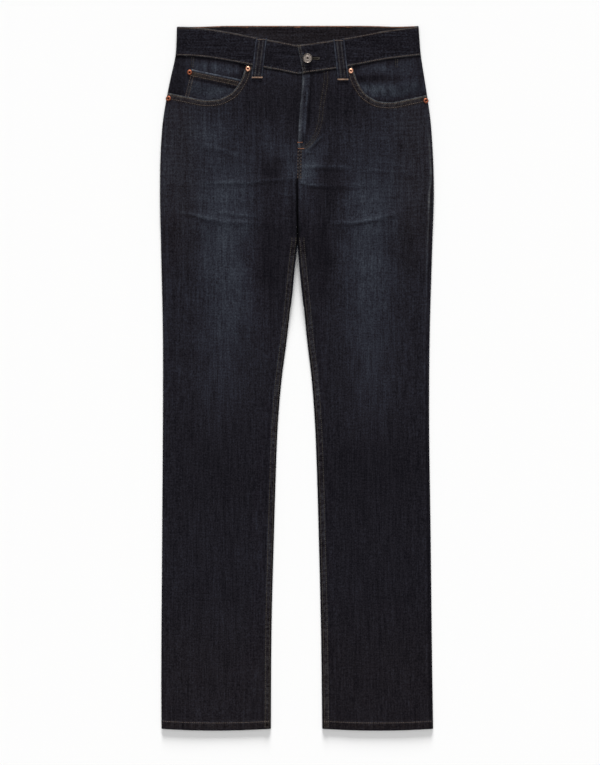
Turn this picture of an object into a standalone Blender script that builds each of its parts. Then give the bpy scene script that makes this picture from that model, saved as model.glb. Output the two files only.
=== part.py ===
"""Slim fit five-pocket jeans laid flat, front up, on a level surface.

+X runs to the wearer's left, +Y towards the waist and +Z up. Sizes are in millimetres until a mesh is made.
"Down" is the distance below the top edge of the back waistband, along the garment.
"""

import math

import bpy
import numpy as np
from mathutils import Vector

MM = 0.001

# Driving sizes
LENGTH = 1100.0  # back waistband's top edge to the hems
CLOTH = 1.2  # one layer of denim
SEAM_GAP = 0.3  # between neighbouring pieces
BAND_THICK = 2.6  # waistband: two layers with their turnings
BAND_DEPTH = 44.5
BACK_TOP = 0.6  # down of the back waistband's top edge
BACK_DIP = 1.7  # how much lower that edge lies at the wearer's right
HEM_DEPTH = 11.0
HEM_THICK = 2.4
STRAP_THICK = 1.3  # belt loops and back pockets
LIFT = STRAP_THICK + SEAM_GAP  # the seat lies this high, on its loops and pockets
BAND_RISE = 7.2  # front waistband's face over the back's outer face
FELL_RISE = 0.7  # felled seams stand proud by this
FELL_WIDTH = 9.0
MOUTH_DROP = 3.2  # pocket facing's depth under the front panel's face at the pocket mouth
FLY_RISE = CLOTH + SEAM_GAP
ZIP_RISE = 1.2
COIN_GAP = 0.4  # the coin pocket lies on a curved facing
LOOP_WIDTH = 17.0
BUTTON_RADIUS = 7.7
RIVET_RADIUS = 4.3
SIDE_RIVET_PHASE = 70  # degrees round the side's turn, from the seam towards the face

SIDE_TURN = 5.0  # how far a side edge takes to turn over, seen from above
UNDER_TURN = 4.0  # the same on the underside
BAND_TURN = 3.6  # the same for the waistband's fold
CREASE_TURN = 6.0  # the same for the legs' inner edges
SEAM_SHARE = 0.46  # height of the side seam, as a share of the way from the back's face to the front's
HEM_CORNER, HEM_BOW = 1096.8, 2.9  # down of a hem's corners, and how much lower its middle is
LEG_SETTLE = 1.1  # how far a leg's face sinks along its middle
SEAT_END = (303, 345)  # down where the seat comes off its pockets, and where the legs lie on the surface
CROTCH_SEAM = (330, 350)  # down where the crotch seam becomes the two inseams
FLY_FOOT = (186, 196)  # down where the fly's edge becomes the crotch seam

YOKE_SIDE, YOKE_CENTRE = 82.0, 118.0  # down of the yokes' lower seam, at the sides and the centre

# Outer edges of the garment: down, wearer's right, wearer's left
OUTLINE = (
    (0, 187.4, 189.8),
    (49, 189.9, 193.6),
    (85, 197.7, 199.2),
    (116, 203.9, 204.0),
    (148, 209.0, 208.3),
    (179, 211.7, 210.8),
    (257, 213.7, 213.6),
    (335, 212.3, 211.4),
    (491, 208.9, 206.7),
    (584, 209.0, 205.9),
    (803, 210.3, 208.1),
    (1052, 211.7, 211.2),
    (1100, 211.4, 212.3),
)
# Inner edges of the legs: down, right leg, left leg, both as x
INSEAMS = (
    (338, 0.9, 0.9),
    (381, -3.3, 4.6),
    (428, -8.1, 9.4),
    (491, -16.2, 15.9),
    (553, -24.3, 23.2),
    (616, -29.6, 27.9),
    (709, -33.5, 31.7),
    (803, -36.3, 34.3),
    (928, -39.6, 37.3),
    (1100, -40.9, 39.6),
)
# Fly edge and front crotch seam: down, x
CENTRE_FRONT = ((30, 0.0), (75, 8.3), (132, 4.7), (176, 2.0), (194, 1.2), (338, 0.9))
# Top edge of the front waistband: x, down
WAIST_EDGE = (
    (-190, 2.3),
    (-150, 4.0),
    (-103, 11.1),
    (-64, 18.7),
    (-13, 28.2),
    (1, 31.0),
    (14, 29.4),
    (54, 23.7),
    (99, 15.6),
    (136, 8.7),
    (192, 1.6),
)
# Height of the front face over the back's outer face: down, rise
LOFT = ((40, 6.2), (260, 6.2), (340, 5.9), (480, 5.4), (800, 5.0), (1000, 5.2), (1085, 6.0), (1100, 6.0))
# Pocket mouth: share of the way from its top to the side seam, depth under its top
MOUTH = (
    (0.0, 0.0),
    (0.02, 8.0),
    (0.05, 19.0),
    (0.13, 37.0),
    (0.27, 51.0),
    (0.48, 56.5),
    (0.74, 51.5),
    (1.0, 45.0),
)
MOUTH_UNDER = 10.0  # how far the facing goes in under the front panel
MOUTH_TOP = {"right": (79.0, 60.0), "left": (87.0, 63.5)}  # distance from the centre, down
# Soft wear creases across the thighs: x and down of both ends, sag of the middle, height
CREASES = (
    (-150, 243, -2, 237, 3.0, 0.9),
    (3, 243, 85, 254, -1.0, 0.9),
    (-178, 291, -62, 308, 5.0, 1.0),
    (-127, 289, -62, 298, 1.0, 0.7),
    (58, 308, 165, 291, 5.0, 1.0),
    (14, 219, 78, 222, -1.5, 0.7),
    (-60, 208, -2, 206, 0.5, 0.5),
    (-160, 182, -108, 197, 1.0, 0.5),
    (12, 198, 44, 168, 0.0, 0.8),
)
CREASE_WIDTH = 6.0
# Belt loops on the front: x of the top end, x and down of the foot
FRONT_LOOPS = {"right": (-55.4, -63.0, 84.5), "left": (65.0, 72.3, 87.5)}
BACK_LOOPS = {"right": -81.0, "centre": 0.0, "left": 81.0}  # x of each
BACK_LOOP_SPAN = (1.0, 62.0)  # down of its ends
BACK_POCKET = ((40, 148), (176, 139), (171, 262), (113, 294), (53, 268))  # distance from the centre, down
COIN_TOP = ((-164.5, 71.5), (-80.0, 86.0))  # the coin pocket's top edge, x and down of its ends
COIN_FOOT = ((-178.0, 120.0), (-86.0, 112.0))
# The fly's J-shaped stitching: distance from the fly's edge, down where it turns in, down of its foot
FLY_STITCH = (33.0, 128.0, 192.0)
FLY_TUCK = 4.2  # how far the right front goes in under the fly
SHIELD = (77.5, 176.0, 8.0)  # the fly shield: down of its ends, how far it reaches behind the right front
ZIP_SPAN = (78.5, 156.0)  # down of the zip's ends
UNDERLAP_END = 36.0  # x where the right waistband ends, under the left one
LAP = (55, 39)  # x between which the left waistband rises over the right one
BAND_END = ((31.0, -0.3), (76.0, 9.0))  # the buttonhole end's slanting edge: down, x
BUTTON_AT = (17.0, 51.0)  # x, down
BUTTONHOLE = (2.9, 0.5, 17.0)  # the eye's radius, the slit's half width, its reach from the button
# Rivets that lie level: x, down
MOUTH_RIVETS = {"right": (-75.6, 66.8), "left": (83.4, 70.2)}
COIN_RIVET = (-166.0, 73.0)
SIDE_RIVETS = {"right": 113.6, "left": 117.4}  # down of each

# Finishes: name, colour, roughness, metallic
DENIM = ("denim", (0.020, 0.021, 0.034), 0.85, 0.0)
FACING_DENIM = ("facing_denim", (0.030, 0.034, 0.050), 0.85, 0.0)
COPPER = ("rivet_copper", (0.66, 0.30, 0.19), 0.35, 1.0)
NICKEL = ("button_metal", (0.42, 0.39, 0.36), 0.38, 1.0)
TAPE = ("zip_tape", (0.035, 0.035, 0.045), 0.7, 0.0)

SIGN = {"right": -1, "left": 1}
SETTLING = range(5)  # rounds that place a point whose x and down depend on each other


# Curves and heights


def flow(table, column, at):
    """A smooth curve through one column of a table whose first column is the place."""
    rows = np.array(table, float)
    places, values = rows[:, 0], rows[:, column]
    slopes = np.gradient(values, places)
    at = np.clip(at, places[0], places[-1])
    i = np.clip(np.searchsorted(places, at, side="right") - 1, 0, len(places) - 2)
    span = places[i + 1] - places[i]
    t = (at - places[i]) / span
    return (
        values[i] * (1 + 2 * t) * (1 - t) ** 2
        + slopes[i] * span * t * (1 - t) ** 2
        + values[i + 1] * t * t * (3 - 2 * t)
        + slopes[i + 1] * span * t * t * (t - 1)
    )


def ease(start, end, at):
    """0 before start, 1 after end, and a smooth step between; start may be the larger."""
    t = np.clip((np.asarray(at, float) - start) / (end - start), 0, 1)
    return t * t * (3 - 2 * t)


def base(down):
    """Outer face of the back over the surface: the seat lies on its pockets, the legs on the surface."""
    return LIFT * (1 - ease(*SEAT_END, down))


def outer_edge(side, down):
    """The side edge's x on one side."""
    return SIGN[side] * flow(OUTLINE, 1 if side == "right" else 2, down)


def inner_edge(side, down):
    """The x of the centre seam, and below the crotch that of the leg's inner edge, half a seam gap clear."""
    leg = flow(INSEAMS, 1 if side == "right" else 2, down)
    edge = np.where(np.less(down, INSEAMS[0][0]), flow(CENTRE_FRONT, 1, down), leg)
    return edge + SIGN[side] * SEAM_GAP / 2


def seam_height(down):
    """Where the front and back panels meet along a side edge, a little under half way up."""
    return base(down) + SEAM_SHARE * flow(LOFT, 1, down)


def front_seam(down):
    """Height of a front piece's side edge."""
    return seam_height(down) + SEAM_GAP / 2


def back_seam(down):
    """Height of a back piece's side edge."""
    return seam_height(down) - SEAM_GAP / 2


def waist_edge(x):
    """Down of the front waistband's top edge."""
    return flow(WAIST_EDGE, 1, x)


def front_top(x):
    """Where the front panels and facings start, just under the waistband."""
    return waist_edge(x) + BAND_DEPTH + SEAM_GAP


def back_edge(x):
    """Down of the back waistband's top edge, straight but for a dip at the wearer's right."""
    return BACK_TOP + BACK_DIP * ease(-105, -165, x)


def yoke_line(x):
    """The V-shaped seam between yoke and back leg."""
    return YOKE_CENTRE + (YOKE_SIDE - YOKE_CENTRE) * np.abs(x) / 200.0


def hem_line(share, x):
    """The hem bows down a little across a leg."""
    return HEM_CORNER + HEM_BOW * (1 - (2 * share - 1) ** 2)


def width_at(side, down):
    """Width of one front or back panel."""
    return np.abs(inner_edge(side, down) - outer_edge(side, down))


def crease_height(x, down):
    """Soft ridges that years of sitting press across the thighs."""
    total = 0.0
    for x0, d0, x1, d1, sag, height in CREASES:
        along = np.clip((x - x0) / (x1 - x0), 0, 1)
        middle = d0 + (d1 - d0) * along + sag * 4 * along * (1 - along)
        total += height * np.sin(np.pi * along) ** 0.5 * np.exp(-(((down - middle) / CREASE_WIDTH) ** 2))
    return total


def fly_curve(down):
    """Distance from the fly's edge to its J-shaped stitching, which turns in at the foot of the fly."""
    reach, turn, foot = FLY_STITCH
    t = np.clip((np.asarray(down, float) - turn) / (foot - turn), 0, 1)
    return reach * np.sqrt(1 - t**2)


def fly_height(x, down):
    """How far the fly lifts the left front.

    It lies over the right front, with the zip as a ridge beside its edge.
    """
    into = x - flow(CENTRE_FRONT, 1, down)
    over = FLY_RISE * ease(15, 4, into - fly_curve(down)) * ease(192, 172, down)
    ridge = ZIP_RISE * ease(0.5, 4, into) * ease(15, 10, into) * ease(186, 168, down)
    return over + ridge


def front_height(side, x, down):
    """Face of a front panel, away from its edges. Each leg settles a little along its middle."""
    into = np.abs(x - outer_edge(side, down)) / width_at(side, down)
    settle = LEG_SETTLE * ease(340, 480, down) * ease(1090, 1030, down)
    sag = settle * np.sin(np.pi * np.clip(into, 0, 1)) ** 2
    face = base(down) + flow(LOFT, 1, down) - sag + crease_height(x, down)
    if side == "left":
        face = face + fly_height(x, down)
    return face


def mouth_end(side):
    """Distance from the centre to where the pocket mouth meets the side seam."""
    return abs(float(outer_edge(side, MOUTH_TOP[side][1] + MOUTH[-1][1])))


def mouth_depth(side, x):
    """Down of the pocket mouth's edge at x."""
    start, top = MOUTH_TOP[side]
    share = (np.abs(x) - start) / (mouth_end(side) - start)
    return top + flow(MOUTH, 1, share)


# Meshes


def finish(look):
    """The material of one finish, made once."""
    name, colour, roughness, metallic = look
    made = bpy.data.materials.get(name) or bpy.data.materials.new(name)
    made.use_nodes = True
    shader = made.node_tree.nodes["Principled BSDF"]
    shader.inputs["Base Color"].default_value = (*colour, 1)
    shader.inputs["Roughness"].default_value = roughness
    shader.inputs["Metallic"].default_value = metallic
    return made


def add_object(name, points, faces, look, edges=()):
    """A mesh object from points in millimetres."""
    mesh = bpy.data.meshes.new(name)
    mesh.from_pydata((np.array(points, float) * MM).tolist(), edges, faces)
    obj = bpy.data.objects.new(name, mesh)
    bpy.context.scene.collection.objects.link(obj)
    mesh.materials.append(finish(look))
    mesh.shade_smooth()
    mesh.set_sharp_from_angle(angle=math.radians(40))
    return obj


def place(x, down, z):
    """Stacks x, down and z into points of the garment's own frame."""
    x, down, z = np.broadcast_arrays(x, down, z)
    return np.stack([x, LENGTH / 2 - down, z], axis=-1)


def quads(rows, columns, start=0):
    """Faces of a grid of points that is stored row by row."""
    k = start + np.arange(rows * columns).reshape(rows, columns)
    return np.stack([k[:-1, :-1], k[:-1, 1:], k[1:, 1:], k[1:, :-1]], axis=-1).reshape(-1, 4)


def inward(grid, up):
    """Unit normals of a grid of points, turned away from its outer side.

    up is +1 where that side faces up.
    """
    along = np.gradient(grid, axis=0)
    across = np.gradient(grid, axis=1)
    normal = np.cross(along, across)
    normal /= np.linalg.norm(normal, axis=-1, keepdims=True)
    middle = normal[grid.shape[0] // 2, grid.shape[1] // 2, 2]
    return -normal * math.copysign(1, middle * up)


def cloth_wall(name, grid, thick, look, up=1, limit=None):
    """A closed wall of cloth: the grid is its outer face, and the inner face lies thick further in.

    The inner face stays on its own side of the limit, the height where it would meet the other panel.
    """
    rows, columns = grid.shape[:2]
    thick = np.broadcast_to(np.asarray(thick, float), (rows, columns))
    inner = grid + inward(grid, up) * thick[..., None]
    if limit is not None:
        inner[..., 2] = up * np.maximum(up * inner[..., 2], up * limit)
    count = rows * columns
    rim = np.concatenate(
        [
            np.arange(columns - 1),
            np.arange(rows - 1) * columns + columns - 1,
            count - 1 - np.arange(columns - 1),
            (rows - 1 - np.arange(rows - 1)) * columns,
        ]
    )
    following = np.roll(rim, -1)
    sides = np.stack([rim, rim + count, following + count, following], axis=-1)
    faces = np.concatenate([quads(rows, columns), quads(rows, columns, count)[:, ::-1], sides])
    points = np.concatenate([grid.reshape(-1, 3), inner.reshape(-1, 3)])
    normal = np.cross(grid[0, 1] - grid[0, 0], grid[1, 0] - grid[0, 0])
    if np.dot(normal, inward(grid, up)[0, 0]) > 0:
        faces = faces[:, ::-1]
    return add_object(name, points, faces.tolist(), look)


def loft(name, rings, look):
    """A closed solid through rings of points, with a flat cap on each end."""
    stations, corners = rings.shape[:2]
    k = np.arange(stations * corners).reshape(stations, corners)
    after = np.roll(k, -1, axis=1)
    sides = np.stack([k[:-1], after[:-1], after[1:], k[1:]], axis=-1).reshape(-1, 4)
    faces = sides.tolist() + [k[0, ::-1].tolist(), k[-1].tolist()]
    points = rings.reshape(-1, 3)
    a, b, c = points[faces[0][0]], points[faces[0][1]], points[faces[0][2]]
    if np.dot(np.cross(b - a, c - b), (a + b + c) / 3 - rings[:2].mean(axis=(0, 1))) < 0:
        faces = [face[::-1] for face in faces]
    return add_object(name, points, faces, look)


def spun(name, profile, look, steps, x, down, z, tilt=0.0):
    """A round piece set on the cloth: a profile of radius and height turned about its own Z axis."""
    edges = [(i, i + 1) for i in range(len(profile) - 1)]
    obj = add_object(name, [(radius, 0, height) for radius, height in profile], [], look, edges)
    screw = obj.modifiers.new("turn", "SCREW")
    screw.steps = screw.render_steps = steps
    screw.use_merge_vertices = True
    screw.merge_threshold = 0.00002
    obj.location = Vector((x, LENGTH / 2 - down, z)) * MM
    obj.rotation_euler = (0, tilt, 0)
    return obj


def prism(outline, low, high):
    """Points and outward faces of an outline of x and down, extruded from low to high."""
    count = len(outline)
    points = [place(x, down, z) for z in (low, high) for x, down in outline]
    sides = [(i, (i + 1) % count, count + (i + 1) % count, count + i) for i in range(count)]
    faces = sides + [tuple(reversed(range(count))), tuple(range(count, 2 * count))]
    x, down = np.array(outline, float).T
    clockwise = np.sum(x * np.roll(down, -1) - np.roll(x, -1) * down) > 0
    if clockwise:
        faces = [tuple(reversed(face)) for face in faces]
    return points, faces


def slab(name, outline, low, high, look):
    """A flat piece with softened edges."""
    obj = add_object(name, *prism(outline, low, high), look)
    soft = obj.modifiers.new("edges", "BEVEL")
    soft.width = 0.3 * MM
    soft.segments = 1
    soft.limit_method = "ANGLE"
    soft.angle_limit = math.radians(50)
    return obj


def cut(obj, outline, low, high):
    """Cuts a prism out of an object."""
    tool = add_object(obj.name + "_cutter", *prism(outline, low, high), DENIM)
    tool.hide_render = True
    tool.display_type = "WIRE"
    boolean = obj.modifiers.new("cut", "BOOLEAN")
    boolean.operation = "DIFFERENCE"
    boolean.object = tool


# Legs and seat


def turned_x(side, q, girth, down, turn):
    """The x of a point at q along a panel from the side seam, and how far round each edge it lies."""
    out, inn = outer_edge(side, down), inner_edge(side, down)
    sign = np.sign(inn - out)
    near = np.clip(q / turn, 0, 1) * np.pi / 2
    far = np.clip((girth - q) / CREASE_TURN, 0, 1) * np.pi / 2
    x = np.where(
        girth - q < CREASE_TURN,
        inn - sign * CREASE_TURN * (1 - np.cos(far)),
        out + sign * (turn * (1 - np.cos(near)) + np.maximum(q - turn, 0)),
    )
    return x, near, far


def across_panel(side, q, girth, down, turn, height_at, edge_height, crease_at):
    """A point of a panel at q along its face from the side seam: the face turns over at both edges.

    An edge is a quarter of an ellipse, from the seam's height up (or down) to the panel's face.
    """
    x, near, far = turned_x(side, q, girth, down, turn)
    face = height_at(side, x, down)
    at_edge = (edge_height(down) - face) * (1 - np.sin(near))
    at_crease = (crease_at(down, face) - face) * (1 - np.sin(far))
    return place(x, down, face + at_edge + at_crease)


def front_crease(down, face):
    """How low the front's inner edge turns.

    It is level at the fly and deep between the thighs, and then it is the leg's seam.
    """
    return face + (front_seam(down) - face) * ease(205, 338, down) ** 0.7


def back_crease(down, face):
    """The back's inner edge lies flat at the seat and rises to the leg's seam below the crotch."""
    return face + (back_seam(down) - face) * ease(300, 345, down)


def panel_grid(side, shares, steps, top_line, foot_line, turn, height_at, edge_height, crease_at):
    """Points of a panel. shares run from the side seam to the inner edge, steps from its top to its foot.

    The top and foot lines depend on x, which depends on down, so each is found in a few rounds.
    """
    share, step = np.meshgrid(shares, steps)
    ends = []
    for line in (top_line, foot_line):
        down = np.full(share.shape, 100.0)
        for _ in SETTLING:
            girth = width_at(side, down)
            down = line(share, turned_x(side, share * girth, girth, down, turn)[0])
        ends.append(down)
    down = ends[0] + step * (ends[1] - ends[0])
    girth = width_at(side, down)
    grid = across_panel(side, share * girth, girth, down, turn, height_at, edge_height, crease_at)
    return grid, share, down


def hemmed(side, x, down):
    """Thickness of a leg panel: the hem is turned up, but for the last millimetres at its edges."""
    away = np.minimum(np.abs(x - outer_edge(side, down)), np.abs(x - inner_edge(side, down)))
    turned_up = ease(LENGTH - HEM_DEPTH - 5, LENGTH - HEM_DEPTH - 3, down) * ease(6, 10, away)
    return CLOTH + (HEM_THICK - CLOTH) * turned_up


def spaced(edges, counts):
    """Places from the first edge to the last, each stretch cut into its count of equal steps."""
    runs = [np.linspace(a, b, n, endpoint=False) for a, b, n in zip(edges, edges[1:], counts)]
    return np.concatenate(runs + [[edges[-1]]])


def make_front(side):
    """A front leg from waistband to hem, with a scooped pocket mouth cut out and a felled inseam."""
    shares = spaced((0, 0.028, 0.93, 0.957, 1.0), (3, 8, 2, 3))
    steps = spaced((0, 0.085, 0.26, 0.985, 0.988, 1.0), (5, 26, 14, 1, 1))
    grid, share, down = panel_grid(
        side,
        shares,
        steps,
        lambda share, x: front_top(x),
        hem_line,
        SIDE_TURN,
        front_height,
        front_seam,
        front_crease,
    )
    from_inner = np.abs(grid[..., 0] - inner_edge(side, down))
    felled = ease(*CROTCH_SEAM, down)
    if side == "left":
        felled = np.maximum(felled, ease(*FLY_FOOT, down) * ease(240, 205, down))
    felled = felled * ease(FELL_WIDTH + 1, FELL_WIDTH - 1, from_inner) * ease(0, 3, from_inner)
    grid[..., 2] += FELL_RISE * felled
    thick = hemmed(side, grid[..., 0], down)
    if side == "right":
        grid[..., 0] += FLY_TUCK * ease(162, 150, down) * ease(0.9, 1.0, share)
    front = cloth_wall(f"front_{side}", grid, thick, DENIM, limit=front_seam(down))
    cut(front, mouth_outline(side), 0, 25)


def mouth_outline(side):
    """The pocket mouth's scoop, closed round outside the side seam and over the waistband."""
    start, reach = MOUTH_TOP[side][0], mouth_end(side)
    x = SIGN[side] * (start + np.linspace(0, 1, 14) ** 1.6 * (reach - start))
    curve = list(zip(x.tolist(), mouth_depth(side, x).tolist()))
    beyond = SIGN[side] * (reach + 8)
    over = 30.0
    return [(curve[0][0], over)] + curve + [(beyond, curve[-1][1] - 1.5), (beyond, over)]


def back_height(side, x, down):
    """Outer face of the back, which lies flat."""
    return base(down) + 0 * x


def make_back(side):
    """A back leg from the yoke seam to the hem, flat where it lies."""
    shares = spaced((0, 0.023, 0.957, 1.0), (3, 5, 3))
    steps = spaced((0, 0.18, 0.25, 0.985, 0.988, 1.0), (3, 5, 17, 1, 1))
    grid, _, down = panel_grid(
        side,
        shares,
        steps,
        lambda share, x: yoke_line(x) + SEAM_GAP,
        hem_line,
        UNDER_TURN,
        back_height,
        back_seam,
        back_crease,
    )
    thick = hemmed(side, grid[..., 0], down)
    cloth_wall(f"back_{side}", grid, thick, DENIM, up=-1, limit=back_seam(down))


def make_yoke(side):
    """The wedge between waistband and back leg."""
    shares = spaced((0, 0.023, 0.5, 1.0), (3, 3, 3))
    grid, _, down = panel_grid(
        side,
        shares,
        (0, 0.5, 1),
        lambda share, x: back_edge(x) + BAND_DEPTH + SEAM_GAP,
        lambda share, x: yoke_line(x),
        UNDER_TURN,
        back_height,
        back_seam,
        back_crease,
    )
    cloth_wall(f"yoke_{side}", grid, CLOTH, DENIM, up=-1, limit=back_seam(down))


# Front pockets


def mouth_inside(side, x, down):
    """How far a point lies inside the pocket mouth, up from its lower edge or out from its steep end."""
    start = MOUTH_TOP[side][0]
    return np.minimum(mouth_depth(side, x) - down, (np.abs(x) - start) * 1.4)


def facing_height(side, x, down):
    """The facing lies level with the waist and side seams and drops under the front at the mouth."""
    from_side = np.abs(x - outer_edge(side, down))
    drop = MOUTH_DROP * ease(26, 1, mouth_inside(side, x, down)) * ease(1, 11, from_side)
    return front_height(side, x, down) - drop


def make_facing(side):
    """The denim that shows in the pocket mouth; it goes on under the front panel."""
    start, top_down = MOUTH_TOP[side]
    width = abs(float(outer_edge(side, 60))) - start + MOUTH_UNDER
    places = np.concatenate([spaced((0, SIDE_TURN), (3,)), [8], spaced((10.5, width), (14,))])
    q, step = np.meshgrid(places, spaced((0, 1), (9,)))
    at_foot = SIGN[side] * (np.abs(outer_edge(side, 100)) - q)
    foot = mouth_depth(side, at_foot) + np.where(q < 9, -0.7, MOUTH_UNDER)
    foot = np.where(np.abs(at_foot) < start + MOUTH_UNDER, top_down + 52, foot)
    girth = 2 * width
    top = np.full(q.shape, 50.0)
    for _ in SETTLING:
        top = front_top(turned_x(side, q, girth, top, SIDE_TURN)[0])
    down = top + step * (foot - top)
    grid = across_panel(side, q, girth, down, SIDE_TURN, facing_height, front_seam, lambda d, face: face)
    limit = np.where(q < SIDE_TURN + 1, front_seam(down), 0)
    cloth_wall(f"facing_{side}", grid, CLOTH, FACING_DENIM, limit=limit)


def make_coin_pocket():
    """The small pocket on the right facing; its inner end goes on under the front panel."""
    share, step = np.meshgrid(spaced((0, 1), (14,)), spaced((0, 0.15, 1), (1, 5)))
    top, foot = np.array(COIN_TOP), np.array(COIN_FOOT)
    upper = top[0] + share[..., None] * (top[1] - top[0])
    lower = foot[0] + share[..., None] * (foot[1] - foot[0])
    x, down = np.moveaxis(upper + step[..., None] * (lower - upper), -1, 0)
    face = facing_height("right", x, down) + COIN_GAP + CLOTH
    cloth_wall("coin_pocket", place(x, down, face), CLOTH, FACING_DENIM)


# Waistband and fly


def band_ring(x_at, top_line, face_at, inward_at):
    """One section of the waistband: two flat faces joined by rounded folds, as depth and thickness places."""
    fold = 1.0
    places = (
        (0.0, BAND_THICK / 2),
        (0.35, 0.45),
        (fold, 0.0),
        (BAND_DEPTH / 2, 0.0),
        (BAND_DEPTH - fold, 0.0),
        (BAND_DEPTH, fold),
        (BAND_DEPTH, BAND_THICK - fold),
        (BAND_DEPTH - fold, BAND_THICK),
        (BAND_DEPTH / 2, BAND_THICK),
        (fold, BAND_THICK),
        (0.35, BAND_THICK - 0.45),
    )
    ring = []
    for depth, into in places:
        down = 30.0 + depth
        for _ in SETTLING:
            down = top_line(x_at(down)) + depth
        ring.append(place(x_at(down), down, face_at(down)) + inward_at * into)
    return ring


def band_turn(side, up):
    """Sections of a waistband's fold at the side, from the seam to its face.

    up is +1 for the front and -1 for the back.
    """
    rings = []
    for phase in (0, 30, 60):
        cosine, sine = math.cos(math.radians(phase)), math.sin(math.radians(phase))

        def x_at(down):
            return outer_edge(side, down) - SIGN[side] * BAND_TURN * (1 - cosine)

        def face_at(down):
            return base(down) + BAND_RISE * (0.5 + up * 0.5 * sine) + up * SEAM_GAP / 2 * (1 - sine)

        top_line = waist_edge if up > 0 else back_edge
        rings.append(band_ring(x_at, top_line, face_at, np.array([-SIGN[side] * cosine, 0, -up * sine])))
    return rings


def band_run(x_start, x_end, top_line, face_at, inward_z, shares):
    """Sections of a waistband's level stretch between two edges, each an x for a down."""
    rings = []
    for share in shares:

        def x_at(down):
            return x_start(down) + share * (x_end(down) - x_start(down))

        def height_at(down):
            return face_at(x_at(down), down)

        rings.append(band_ring(x_at, top_line, height_at, np.array([0, 0, inward_z])))
    return rings


def band_start(side):
    """The x where a side's fold ends, for a down."""
    return lambda down: outer_edge(side, down) - SIGN[side] * BAND_TURN


def make_front_band(side):
    """Half of the front waistband, from the fold at the side to the fly.

    The left half rises over the right one.
    """
    if side == "right":
        end, lap = (lambda down: UNDERLAP_END + 0 * down), 0.0
    else:
        end, lap = (lambda down: flow(BAND_END, 1, down)), BAND_THICK + SEAM_GAP

    def face_at(x, down):
        return base(down) + BAND_RISE + lap * ease(*LAP, x)

    shares = spaced((0, 0.68, 0.86, 1.0), (7, 4, 3))
    rings = band_turn(side, 1) + band_run(band_start(side), end, waist_edge, face_at, -1.0, shares)
    band = loft(f"waistband_front_{side}", np.array(rings), DENIM)
    if side == "left":
        cut(band, buttonhole_outline(), 0, 25)


def buttonhole_outline():
    """A keyhole buttonhole: a round eye for the shank and a slit towards the side."""
    eye, slit, reach = BUTTONHOLE
    start = math.asin(slit / eye)
    turns = np.linspace(start, 2 * math.pi - start, 12)
    points = [(BUTTON_AT[0] + eye * math.cos(a), BUTTON_AT[1] + eye * math.sin(a)) for a in turns]
    return points + [(BUTTON_AT[0] + reach, BUTTON_AT[1] - slit), (BUTTON_AT[0] + reach, BUTTON_AT[1] + slit)]


def make_back_band():
    """The back waistband, from fold to fold, its outer face down."""
    level = band_run(
        band_start("right"),
        band_start("left"),
        back_edge,
        lambda x, down: base(down),
        1.0,
        np.linspace(0, 1, 9),
    )
    rings = band_turn("right", -1) + level + band_turn("left", -1)[::-1]
    loft("waistband_back", np.array(rings), DENIM)


def make_fly_shield():
    """The underlap behind the zip, joined to the right front."""
    share, step = np.meshgrid(np.linspace(0, 1, 5), np.linspace(0, 1, 6))
    top, foot, behind = SHIELD
    down = top + step * (foot - top)
    x = flow(CENTRE_FRONT, 1, down) - behind + share * (behind + np.minimum(fly_curve(down), 30))
    z = base(down) + flow(LOFT, 1, down) - CLOTH - SEAM_GAP
    cloth_wall("fly_shield", place(x, down, z), CLOTH, DENIM)


def make_fly_zip():
    """The closed zip under the fly: its tape, thicker along the teeth."""
    profile = ((4.6, 1.0), (5.4, 2.3), (10.4, 2.3), (11.4, 1.0), (17.0, 1.0))  # from the fly's edge, height
    rings = []
    for down in np.linspace(*ZIP_SPAN, 6):
        floor = float(base(down) + flow(LOFT, 1, down)) - CLOTH
        middle = float(flow(CENTRE_FRONT, 1, down))
        upper = [place(middle + across, down, floor + high) for across, high in profile]
        lower = [place(middle + profile[-1][0], down, floor), place(middle + profile[0][0], down, floor)]
        rings.append(upper + lower)
    loft("fly_zip", np.array(rings), TAPE)


# Loops, back pockets and metal


def make_front_loop(side):
    """A belt loop lying down the waistband and over its lower seam, moved out from the cloth's face."""
    top_x, foot_x, foot_down = FRONT_LOOPS[side]
    top = float(waist_edge(top_x))
    half, corner = LOOP_WIDTH / 2, 0.4
    rings = []
    for down in spaced((top + 0.2, top + BAND_DEPTH, top + BAND_DEPTH + 7, foot_down), (3, 3, 2)):
        share = (down - top) / (foot_down - top)
        middle = top_x + share * (foot_x - top_x)
        band, panel = base(down) + BAND_RISE, float(front_height(side, middle, down))
        step_down = float(ease(top + BAND_DEPTH + 0.6, top + BAND_DEPTH + 7, down))
        under = band + (panel - band) * step_down + SEAM_GAP
        over = under + STRAP_THICK
        ring = (
            (-half, under + corner),
            (-half, over - corner),
            (-half + corner, over),
            (0, over),
            (half - corner, over),
            (half, over - corner),
            (half, under + corner),
            (half - corner, under),
            (0, under),
            (-half + corner, under),
        )
        rings.append([place(middle + x, down, z) for x, z in ring])
    loft(f"loop_front_{side}", np.array(rings), DENIM)


def make_back_loop(place_name, x):
    """A belt loop on the underside, flat on the surface."""
    half = LOOP_WIDTH / 2
    top, foot = BACK_LOOP_SPAN
    outline = [(x - half, top), (x + half, top), (x + half, foot), (x - half, foot)]
    slab(f"loop_back_{place_name}", outline, 0, STRAP_THICK, DENIM)


def make_back_pocket(side):
    """A plain five-cornered pocket on the underside, flat on the surface."""
    outline = [(SIGN[side] * x, down) for x, down in BACK_POCKET]
    slab(f"back_pocket_{side}", outline, 0, STRAP_THICK, DENIM)


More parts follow.
